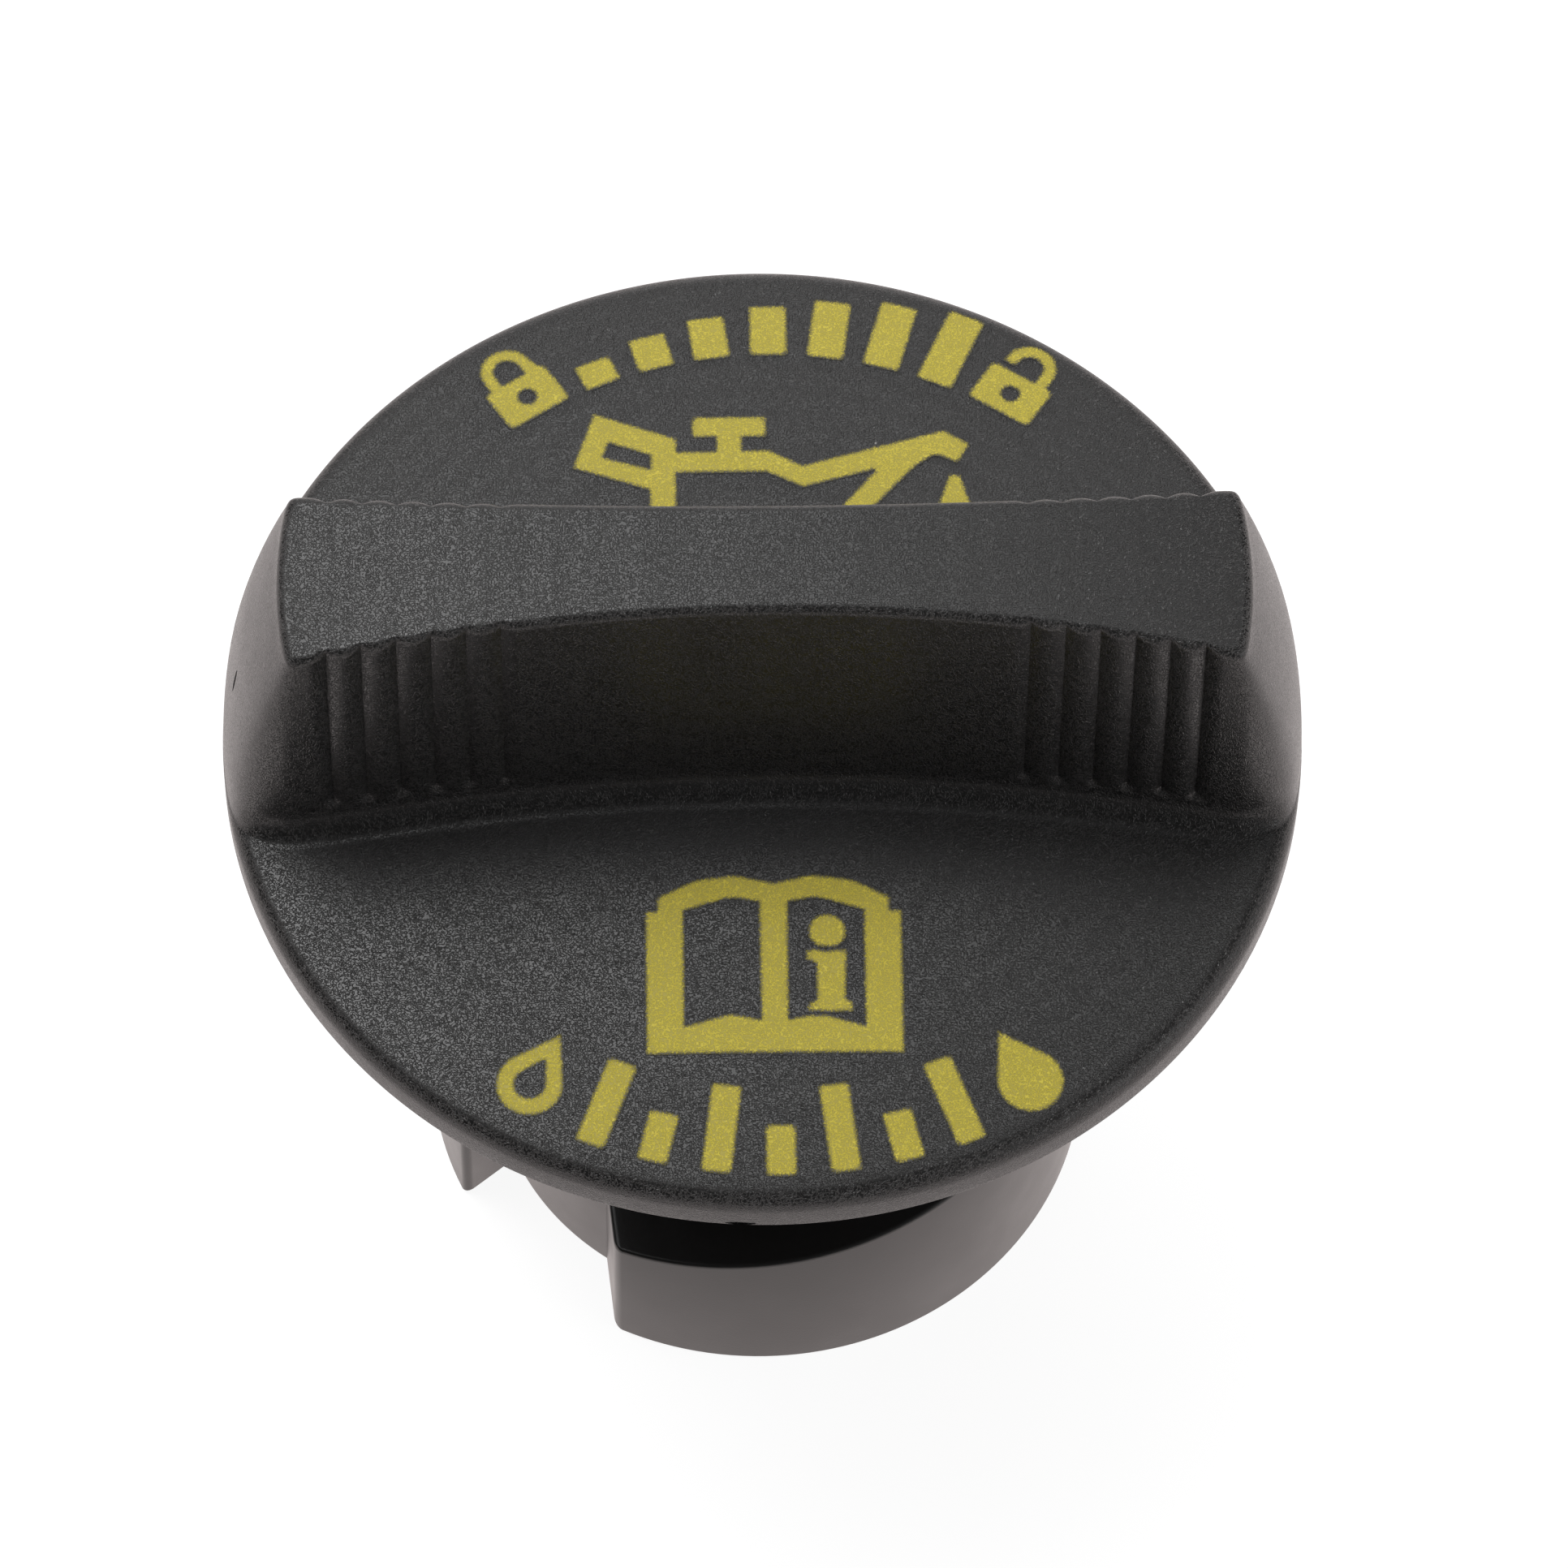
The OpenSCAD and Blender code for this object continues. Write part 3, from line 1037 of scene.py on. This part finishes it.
@dataclass
class Print:
    """The yellow print on the disc's face, as thin films that follow the dome."""

    disc: Disc = field(default_factory=Disc)
    lock: Padlock = Padlock()
    drop: Drop = Drop()
    film: float = 0.018
    sunk: float = 0.05
    step: float = 0.3
    spread: float = 0.13
    shift_x: float = 0.45
    arc_shift: float = 0.7
    upper_r: float = 26.1
    lower_r: float = 31.1
    cap_h: float = 5.6
    sharp: float = 0.1
    bars: int = 7
    bar_round: float = 0.2
    upper_bar_w: float = 2.3
    first_bar_h: float = 1.9
    upper_gap: float = 1.6
    lower_bar_w: float = 1.8
    short_bar_h: float = 3.2
    lower_gap: float = 1.75
    crease_deg: float = 40.0

    def film_mesh(self, name: str, marks: list[Mark]) -> bpy.types.Object:
        """Makes a closed film from flat marks.

        The plan is triangulated between its outlines, with a grid of points inside. The upper side lies
        just over the dome, the lower side just under it, and a wall runs round each outline. Each point
        keeps its distance from the edge for the ink's soft border.

        Args:
            name: Name of the object.
            marks: Marks in the plan.

        Returns:
            The new object.
        """
        wide = [grown(m.outer, self.spread) for m in marks]
        wide += [grown(hole, -self.spread) for m in marks for hole in m.holes]
        loops = [densify(loop, self.step) for loop in wide]
        inner, distance = inner_points(loops, self.step)
        edge = np.zeros(sum(len(loop) for loop in loops))
        flat = np.concatenate(loops + [inner])
        sizes = [len(loop) for loop in loops]
        starts = np.cumsum([0] + sizes[:-1])
        rings = [list(range(a, a + n)) for a, n in zip(starts, sizes)]
        found = delaunay_2d_cdt([Vector(p) for p in flat.tolist()], [], rings, HOLES_OPEN, TINY_MM)
        plan, tris = np.array([tuple(v) for v in found[0]]), np.array(found[2])
        source = np.array([origins[0] if origins else 0 for origins in found[3]])
        from_edge = np.concatenate([edge, distance])[source]
        face = self.disc.face(np.hypot(plan[:, 0], plan[:, 1])) + self.disc.rim_z
        upper = np.column_stack([plan, face + self.film])
        lower = np.column_stack([plan, face - self.sunk])
        sides = np.concatenate([tris[:, [0, 1]], tris[:, [1, 2]], tris[:, [2, 0]]])
        key = np.sort(sides, axis=1)
        _, back, count = np.unique(key, axis=0, return_inverse=True, return_counts=True)
        rim = sides[count[back.ravel()] == 1]
        n = len(plan)
        walls = np.column_stack([rim[:, 1], rim[:, 0], rim[:, 0] + n, rim[:, 1] + n])
        faces = tris.tolist() + (tris[:, ::-1] + n).tolist() + walls.tolist()
        piece = make_object(name, np.concatenate([upper, lower]), faces)
        kept = piece.data.attributes.new(EDGE_DISTANCE, "FLOAT", "POINT")
        kept.data.foreach_set("value", np.tile(from_edge, 2).astype(np.float32))
        clean(piece)
        finish_mesh(piece, self.crease_deg)
        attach(piece, BODY)
        return piece

    def can(self) -> list[Mark]:
        """A generic oil can with a spout and a drop.

        Returns:
            The can and the drop.
        """
        outer = rounded_path(
            [(-10.2, 21.7), (-5.1, 19.7), (-5.1, 18.7), (-2.6, 18.7), (-2.6, 19.85), (-4.1, 19.85),
             (-4.1, 21.3), (0.45, 21.3), (0.45, 19.85), (-1.05, 19.85), (-1.05, 18.75), (0.65, 18.75),
             (2.7, 17.6), (11.5, 20.3), (13.05, 19.3), (12.3, 17.95), (10.9, 18.6), (9.6, 17.6),
             (2.6, 9.4), (-6.75, 9.4), (-6.75, 15.95), (-11.5, 17.7)],
            [self.sharp] * 16 + [0.7, 0.5, 0.3, 0.3] + [self.sharp] * 2, 5, closed=True)
        handle = rounded_path([(-9.33, 19.55), (-6.68, 18.52), (-6.7, 17.45), (-9.66, 18.4)],
                              [self.sharp] * 4, 3, closed=True)
        body = rounded_path(
            [(-5.15, 17.2), (0.5, 17.2), (2.7, 16.05), (7.4, 17.45), (2.2, 11.0), (-5.15, 11.0)],
            [self.sharp] * 6, 3, closed=True)
        belly = circle(12.05, 13.7, 1.25, 24, 0.9 * np.pi, 1.2 * np.pi)
        drop = np.concatenate([belly, [[12.4, 17.0], [11.8, 17.0]]])
        return [Mark(outer, (handle, body)), Mark(drop)]

    def book(self) -> list[Mark]:
        """An open book with the sign for information on one page.

        Returns:
            The book, and the two parts of the sign.
        """
        page = [(7.0, -13.85), (7.0, -12.95), (4.7, -11.8), (2.35, -11.48), (0.0, -12.03)]
        left = [(-x, y) for x, y in page[::-1][1:]]
        bow = [0.2, 3.0, 2.0]
        outer = rounded_path(
            [(7.7, -23.2), (7.7, -13.85)] + page + left + [(-7.7, -13.85), (-7.7, -23.2)],
            [self.sharp] * 3 + bow + [self.sharp] + bow[::-1] + [self.sharp] * 3, 5, closed=True)
        hole = [(5.45, -13.8), (2.6, -12.9), (0.85, -13.25), (0.8, -21.1), (2.65, -20.7), (5.45, -21.5)]
        radii = [self.sharp, 2.5, self.sharp, self.sharp, 2.0, self.sharp]
        right = rounded_path(hole, radii, 6, closed=True)
        stem = rounded_path(
            [(1.95, -16.5), (4.35, -16.5), (4.25, -19.75), (4.65, -19.95), (4.75, -20.5), (2.0, -20.6),
             (2.0, -20.1), (2.55, -19.8), (2.55, -17.35), (1.95, -17.1)], [0.15] * 10, 4, closed=True)
        marks = [Mark(outer, (right, right * [-1, 1])), Mark(stem), Mark(circle(3.22, -15.25, 1.1))]
        return [m.moved(0, (self.shift_x, 0)) for m in marks]

    def bar(self, width: float, height: float) -> Mark:
        """An upright bar on its base line, with slightly round corners."""
        corners = [(-width / 2, 0), (width / 2, 0), (width / 2, height), (-width / 2, height)]
        return Mark(rounded_path(corners, [self.bar_round] * 4, 3, closed=True))

    def on_arc(self, marks: list[tuple[Mark, float]], gap: float, upper: bool) -> list[Mark]:
        """Sets a row of marks along an arc about the axis.

        A mark's angle is its place along the row over the radius at half the marks' height.

        Args:
            marks: Each mark with its width.
            gap: Space between two marks.
            upper: True for the far arc, where the marks' tops point outwards.

        Returns:
            The marks in the plan.
        """
        side, radius = (1, self.upper_r) if upper else (-1, self.lower_r)
        middle_r = radius + side * self.cap_h / 2
        widths = np.array([w for _, w in marks])
        ends = np.cumsum(widths + gap)
        places = ends - widths / 2 - gap
        places = places - (ends[-1] - gap) / 2
        placed = []
        for (mark, _), place in zip(marks, places):
            angle = -side * place / middle_r
            out = side * np.array([-np.sin(angle), np.cos(angle)])
            placed.append(mark.moved(angle, tuple(out * radius + [self.arc_shift, 0])))
        return placed

    def upper_marks(self) -> list[Mark]:
        """A closed padlock, bars that grow towards the open side, and an open padlock.

        Returns:
            The marks in the plan.
        """
        heights = np.linspace(self.first_bar_h, self.cap_h, self.bars)
        bars = [(self.bar(self.upper_bar_w, h), self.upper_bar_w) for h in heights]
        first, last = ((self.lock.mark(is_open), self.lock.width) for is_open in (False, True))
        return self.on_arc([first] + bars + [last], self.upper_gap, True)

    def lower_marks(self) -> list[Mark]:
        """A scale of long and short bars between an empty and a full drop.

        Returns:
            The marks in the plan.
        """
        heights = [self.short_bar_h if i % 2 else self.cap_h for i in range(self.bars)]
        bars = [(self.bar(self.lower_bar_w, h), self.lower_bar_w) for h in heights]
        first, last = ((self.drop.mark(filled), 2 * self.drop.radius) for filled in (False, True))
        return self.on_arc([first] + bars + [last], self.lower_gap, False)

    def build(self) -> list[bpy.types.Object]:
        """Makes the four printed groups.

        Returns:
            A film for each group.
        """
        groups = {"print_oil_can": self.can(), "print_book": self.book(),
                  "print_upper_arc": self.upper_marks(), "print_lower_arc": self.lower_marks()}
        return [self.film_mesh(name, marks) for name, marks in groups.items()]


class Nodes:
    """Short calls that build a node tree."""

    def __init__(self, tree: bpy.types.NodeTree) -> None:
        """Starts on a tree that may hold nodes already."""
        self.tree = tree

    def add(self, kind: str, **values: object) -> bpy.types.Node:
        """Adds a node and sets its attributes, or its inputs where a name is no attribute.

        Args:
            kind: Type of the node.
            **values: Attributes and inputs, with underscores for spaces.

        Returns:
            The node.
        """
        node = self.tree.nodes.new(kind)
        for key, value in values.items():
            if hasattr(node, key):
                setattr(node, key, value)
            else:
                self.feed(node.inputs[key.replace("_", " ")], value)
        return node

    def feed(self, socket: bpy.types.NodeSocket, value: object) -> None:
        """Sets a socket to a number or colour, or links it to another socket.

        Args:
            socket: Input that is set.
            value: Number, colour or output socket.
        """
        if isinstance(value, bpy.types.NodeSocket):
            self.tree.links.new(value, socket)
        else:
            socket.default_value = value

    def math(self, operation: str, a: object, b: object = 0.0) -> bpy.types.NodeSocket:
        """A Math node on two sockets or numbers.

        Args:
            operation: Name of the operation.
            a: First socket or number.
            b: Second socket or number.

        Returns:
            The result's socket.
        """
        node = self.add("ShaderNodeMath", operation=operation)
        self.feed(node.inputs[0], a)
        self.feed(node.inputs[1], b)
        return node.outputs[0]

    def ramp(self, value: bpy.types.NodeSocket, low: float, high: float,
             to_low: float = 0.0, to_high: float = 1.0) -> bpy.types.NodeSocket:
        """Maps a range to another, eased and held outside it.

        Args:
            value: Socket that is mapped.
            low: Value that becomes to_low.
            high: Value that becomes to_high.
            to_low: Result at the lower end.
            to_high: Result at the upper end.

        Returns:
            The result's socket.
        """
        node = self.add("ShaderNodeMapRange", interpolation_type="SMOOTHSTEP", Value=value)
        ends = {"From Min": low, "From Max": high, "To Min": to_low, "To Max": to_high}
        for key, number in ends.items():
            node.inputs[key].default_value = number
        return node.outputs["Result"]

    def noise(self, scale_per_m: float, detail: float, roughness: float = 0.5,
              distortion: float = 0.0) -> bpy.types.NodeSocket:
        """Noise on the object's own coordinates.

        Args:
            scale_per_m: Scale per metre.
            detail: Number of finer layers.
            roughness: Strength of the finer layers.
            distortion: Warp of the pattern.

        Returns:
            The noise's socket.
        """
        node = self.add("ShaderNodeTexNoise", Scale=scale_per_m, Detail=detail, Roughness=roughness,
                        Distortion=distortion, Vector=self.place("Object"))
        return node.outputs["Fac"]

    def place(self, output: str) -> bpy.types.NodeSocket:
        """One output of the tree's Texture Coordinate node."""
        found = self.tree.nodes.get("Place") or self.add("ShaderNodeTexCoord", name="Place")
        return found.outputs[output]

    def part(self, vector: bpy.types.NodeSocket, axis: str) -> bpy.types.NodeSocket:
        """One component of a vector."""
        return self.add("ShaderNodeSeparateXYZ", Vector=vector).outputs[axis]

    def colour(self, factor: bpy.types.NodeSocket, first: object,
               second: object) -> bpy.types.NodeSocket:
        """A mix of two colours.

        Args:
            factor: Socket that is 0 for the first colour and 1 for the second.
            first: Colour or socket.
            second: Colour or socket.

        Returns:
            The colour's socket.
        """
        node = self.add("ShaderNodeMix", data_type="RGBA")
        self.feed(node.inputs[0], factor)
        for i, value in ((6, first), (7, second)):
            self.feed(node.inputs[i], (*value, 1.0) if isinstance(value, tuple) else value)
        return node.outputs[2]

    def bump(self, height: bpy.types.NodeSocket, depth_m: float,
             strength: object) -> bpy.types.NodeSocket:
        """A bump from a height between 0 and 1, its depth in metres and its strength."""
        node = self.add("ShaderNodeBump", Distance=depth_m, Height=height, Strength=strength)
        return node.outputs["Normal"]


class Finish(Nodes):
    """A material with one Principled shader."""

    def __init__(self, name: str, **values: object) -> None:
        """Starts the material and sets inputs of its shader.

        Args:
            name: Name of the material.
            **values: Inputs of the shader, with underscores for spaces.
        """
        self.material = bpy.data.materials.new(name)
        self.material.use_nodes = True
        super().__init__(self.material.node_tree)
        self.shader = self.tree.nodes["Principled BSDF"]
        self.set(**values)

    def set(self, **values: object) -> None:
        """Sets or links inputs of the shader, with underscores for spaces."""
        for key, value in values.items():
            self.feed(self.shader.inputs[key.replace("_", " ")], value)


@dataclass(frozen=True)
class MouldGrain:
    """Spark-eroded grain of the mould: short worm-like ridges."""

    per_m: float = 6400.0
    warp: float = 0.35
    ridge: float = 0.14
    depth: float = 0.000035

    def height(self, n: Nodes) -> bpy.types.NodeSocket:
        """Height of the ridges: 1 where a noise is at its middle, falling to 0 within the ridge's width.

        Args:
            n: Node tree that gets the grain.

        Returns:
            Height between 0 and 1.
        """
        fine = n.noise(self.per_m, 0.0, 0.5, self.warp)
        fold = n.math("ABSOLUTE", n.math("SUBTRACT", fine, 0.5))
        return n.ramp(fold, 0.0, self.ridge, 1.0, 0.0)


@dataclass(frozen=True)
class NylonFinish:
    """Black glass-filled nylon: grained above the rim's lower edge, smoother on the stem."""

    # dark and light are the tones of the grain's hollows and ridges: painted shade, darker in the
    # hollows and lighter on the ridges.
    dark: tuple = (0.0125, 0.012, 0.012)
    light: tuple = (0.038, 0.0362, 0.0355)
    dust: tuple = (0.35, 0.34, 0.33)
    grain: MouldGrain = MouldGrain()
    seam_z: float = Disc.foot_z * MM
    seam_blend: float = 0.0001
    stem_shade: tuple = (0.42, 0.42, 0.42)
    stem_grain: float = 0.06
    gloss_per_m: float = 160.0
    roughness: tuple = (0.28, 0.33)
    dust_per_m: float = 260.0
    dust_size: float = 0.018
    dust_share: float = 0.4

    def dusting(self, n: Nodes) -> bpy.types.NodeSocket:
        """Scattered specks: the middles of a few of the cells that a Voronoi texture makes.

        Args:
            n: Node tree that gets the specks.

        Returns:
            1 on a speck and 0 beside it.
        """
        cells = n.add("ShaderNodeTexVoronoi", Scale=self.dust_per_m, Vector=n.place("Object"))
        near = n.math("LESS_THAN", cells.outputs["Distance"], self.dust_size)
        some = n.math("GREATER_THAN", n.part(cells.outputs["Color"], "X"), 1 - self.dust_share)
        return n.math("MULTIPLY", near, some)

    def material(self) -> bpy.types.Material:
        """Builds the material.

        Returns:
            The material.
        """
        n = Finish("black_nylon_grained", IOR=1.55)
        height = n.part(n.place("Object"), "Z")
        cap = n.ramp(height, self.seam_z - self.seam_blend, self.seam_z + self.seam_blend)
        worm = self.grain.height(n)
        # Below the rim's lower edge, the grain's painted shade is held at one even tone.
        ridge = n.colour(cap, self.stem_shade, worm)
        broad = n.noise(self.gloss_per_m, 3.0, 0.6)
        # Base colour from the grain's height: painted shade, darker in the grain's hollows and lighter
        # on its ridges, over the bump's own relief.
        plain = n.colour(ridge, self.dark, self.light)
        n.set(Base_Color=n.colour(self.dusting(n), plain, self.dust),
              Roughness=n.ramp(broad, 0.3, 0.7, *self.roughness),
              Normal=n.bump(worm, self.grain.depth, n.ramp(cap, 0, 1, self.stem_grain, 1.0)))
        return n.material


@dataclass(frozen=True)
class RubberFinish:
    """Black moulded rubber with a faint bloom."""

    dark: tuple = (0.012, 0.012, 0.013)
    bloom: tuple = (0.022, 0.022, 0.023)
    bloom_per_m: float = 400.0
    roughness: tuple = (0.5, 0.62)
    texture_per_m: float = 3000.0
    texture_depth: float = 0.00001

    def material(self) -> bpy.types.Material:
        """Builds the material.

        Returns:
            The material.
        """
        n = Finish("seal_rubber_satin")
        cloud = n.noise(self.bloom_per_m, 4.0, 0.6)
        n.set(Base_Color=n.colour(cloud, self.dark, self.bloom),
              Roughness=n.ramp(cloud, 0.3, 0.7, *self.roughness),
              Normal=n.bump(n.noise(self.texture_per_m, 2.0), self.texture_depth, 0.4))
        return n.material


@dataclass(frozen=True)
class InkFinish:
    """Yellow pad-print ink: thin over the grain's hollows and worn to nothing along its border."""

    # thin is the yellow over the grain's hollows: thinner ink there, and painted shade in the hollows.
    full: tuple = (0.76, 0.636, 0.06)
    thin: tuple = (0.5, 0.415, 0.05)
    bare: tuple = (0.022, 0.021, 0.021)
    border_mm: float = 0.34
    ragged_mm: float = 0.09
    grain: MouldGrain = MouldGrain()
    grain_show: float = 0.7
    roughness: tuple = (0.4, 0.5)

    def material(self) -> bpy.types.Material:
        """Builds the material.

        Returns:
            The material.
        """
        n = Finish("yellow_pad_print", IOR=1.5)
        worm = self.grain.height(n)
        edge = n.add("ShaderNodeAttribute", attribute_name=EDGE_DISTANCE).outputs["Fac"]
        ragged = n.math("MULTIPLY", n.math("SUBTRACT", worm, 0.5), self.ragged_mm)
        held = n.math("ADD", edge, ragged)
        cover = n.ramp(held, 0.0, self.border_mm)
        # Yellow from the grain's height: darker in the hollows, where the ink lies thinner and where
        # shade is painted.
        ink = n.colour(worm, self.thin, self.full)
        n.set(Base_Color=n.colour(cover, self.bare, ink),
              Roughness=n.ramp(cover, 0.0, 1.0, *self.roughness),
              Normal=n.bump(worm, self.grain.depth, self.grain_show))
        return n.material


@dataclass(frozen=True)
class SoftBox:
    """A soft source in the surround: brightest in one direction and fading round it."""

    elevation_deg: float
    azimuth_deg: float
    sharpness: float
    light: float

    def glow(self, n: Nodes) -> bpy.types.NodeSocket:
        """Light from a direction: the peak times e to the power of sharpness times (cosine - 1).

        Args:
            n: Node tree of the surround.

        Returns:
            The strength's socket.
        """
        e, a = np.radians([self.elevation_deg, self.azimuth_deg])
        towards = np.array([np.cos(e) * np.cos(a), np.cos(e) * np.sin(a), np.sin(e)])
        lobe = n.add("ShaderNodeVectorMath", operation="DOT_PRODUCT")
        n.feed(lobe.inputs[0], n.place("Generated"))
        n.feed(lobe.inputs[1], towards.tolist())
        off = n.math("MULTIPLY", n.math("SUBTRACT", lobe.outputs["Value"], 1.0), self.sharpness)
        return n.math("MULTIPLY", n.math("EXPONENT", off), self.light)


@dataclass(frozen=True)
class Studio:
    """A white floor, soft light that is strongest from the back left, and the photograph's camera."""

    floor_half: float = 3.0
    image_px: float = 1932.0
    focal_px: float = 12103.2
    sensor_mm: float = 36.0
    distance: float = 600.0
    elevation_deg: float = 60.185
    turn_deg: float = 1.58
    roll_deg: float = 0.922
    target_z: float = 45.0
    centre_px: tuple = (939.77, 890.14)
    clip_m: tuple = (0.05, 20.0)
    floor_glow: float = 0.92
    glossy_glow: tuple = (1.0, 0.9, 0.88)
    paint: tuple = (0.8, 0.8, 0.8)
    shadow_paint: tuple = (0.28, 0.28, 0.28)
    key: SoftBox = SoftBox(62.0, 140.0, 26.0, 7.3)
    top: SoftBox = SoftBox(62.0, 90.0, 25.0, 2.2)
    back: SoftBox = SoftBox(15.0, 90.0, 12.0, 1.7)
    side: SoftBox = SoftBox(20.0, 340.0, 12.0, 1.9)
    front: SoftBox = SoftBox(15.0, 270.0, 6.0, 0.12)

    def floor(self) -> None:
        """A wide floor: white paint in the light's paths, near white with a soft shadow to the eye."""
        h = self.floor_half / MM
        corners = np.array([[-h, -h, 0], [h, -h, 0], [h, h, 0], [-h, h, 0]], float)
        plane = make_object("studio_floor", corners, [[0, 1, 2, 3]])
        n = Finish("studio_white", Roughness=1.0, Specular_IOR_Level=0.0)
        path = n.add("ShaderNodeLightPath")
        mirrored = n.math("MAXIMUM", path.outputs["Is Glossy Ray"], path.outputs["Is Transmission Ray"])
        direct = path.outputs["Is Camera Ray"]
        seen = n.math("MAXIMUM", direct, mirrored)
        own = n.math("ADD", n.math("MULTIPLY", direct, self.floor_glow), mirrored)
        n.set(Base_Color=n.colour(seen, self.paint, self.shadow_paint),
              Emission_Color=n.colour(mirrored, (1.0, 1.0, 1.0), self.glossy_glow),
              Emission_Strength=own)
        plane.data.materials.append(n.material)

    def world(self) -> None:
        """A soft surround: the key high at the back left, weaker sources behind, beside and in front."""
        world = bpy.data.worlds.new("studio_surround")
        bpy.context.scene.world = world
        world.use_nodes = True
        n = Nodes(world.node_tree)
        total = self.key.glow(n)
        for box in (self.top, self.back, self.side, self.front):
            total = n.math("ADD", total, box.glow(n))
        back = n.tree.nodes["Background"]
        n.feed(back.inputs["Color"], (1.0, 1.0, 1.0, 1.0))
        n.feed(back.inputs["Strength"], total)

    def camera(self) -> None:
        """The photograph's camera: it looks down at the rim's plane, a little turned and rolled."""
        e, t, roll = np.radians([self.elevation_deg, self.turn_deg, self.roll_deg])
        aim = np.array([0, 0, self.target_z])
        back = np.array([-np.sin(t) * np.cos(e), -np.cos(t) * np.cos(e), np.sin(e)])
        right = np.array([np.cos(t), -np.sin(t), 0])
        up = np.cross(back, right)
        across = np.cos(roll) * right + np.sin(roll) * up
        upward = -np.sin(roll) * right + np.cos(roll) * up
        off = (self.image_px / 2 - np.array(self.centre_px)) / self.focal_px
        look = -back + across * off[0] - upward * off[1]
        look = look / np.linalg.norm(look)
        side = across - look * (across @ look)
        side = side / np.linalg.norm(side)
        top = np.cross(side, look)
        data = bpy.data.cameras.new("photo_camera")
        data.sensor_width = self.sensor_mm
        data.lens = self.focal_px / self.image_px * self.sensor_mm
        data.clip_start, data.clip_end = self.clip_m
        cam = bpy.data.objects.new("photo_camera", data)
        bpy.context.scene.collection.objects.link(cam)
        spot = (aim + back * self.distance) * MM
        pose = np.eye(4)
        pose[:3, 0], pose[:3, 1], pose[:3, 2], pose[:3, 3] = side, top, -look, spot
        cam.matrix_world = Matrix(pose.tolist())
        bpy.context.scene.camera = cam

    def build(self) -> None:
        """Sets floor, surround, camera and view transform."""
        self.floor()
        self.world()
        self.camera()
        bpy.context.scene.view_settings.view_transform = "Standard"


def dress(piece: bpy.types.Object, material: bpy.types.Material) -> None:
    """Gives a piece its one material."""
    piece.data.materials.clear()
    piece.data.materials.append(material)


def report(piece: bpy.types.Object) -> None:
    """Logs a piece's name and its number of triangles."""
    piece.data.calc_loop_triangles()
    LOG.info("%s: %d triangles", piece.name, len(piece.data.loop_triangles))


def main() -> None:
    """Builds the cap, dresses it and sets the studio."""
    logging.basicConfig(level=logging.INFO, format="%(message)s")
    Studio().build()
    body = Moulding().build()
    dress(body, NylonFinish().material())
    report(body)
    ring = SealingRing().build()
    dress(ring, RubberFinish().material())
    report(ring)
    ink = InkFinish().material()
    for piece in Print().build():
        dress(piece, ink)
        report(piece)


if __name__ == "__main__":
    main()
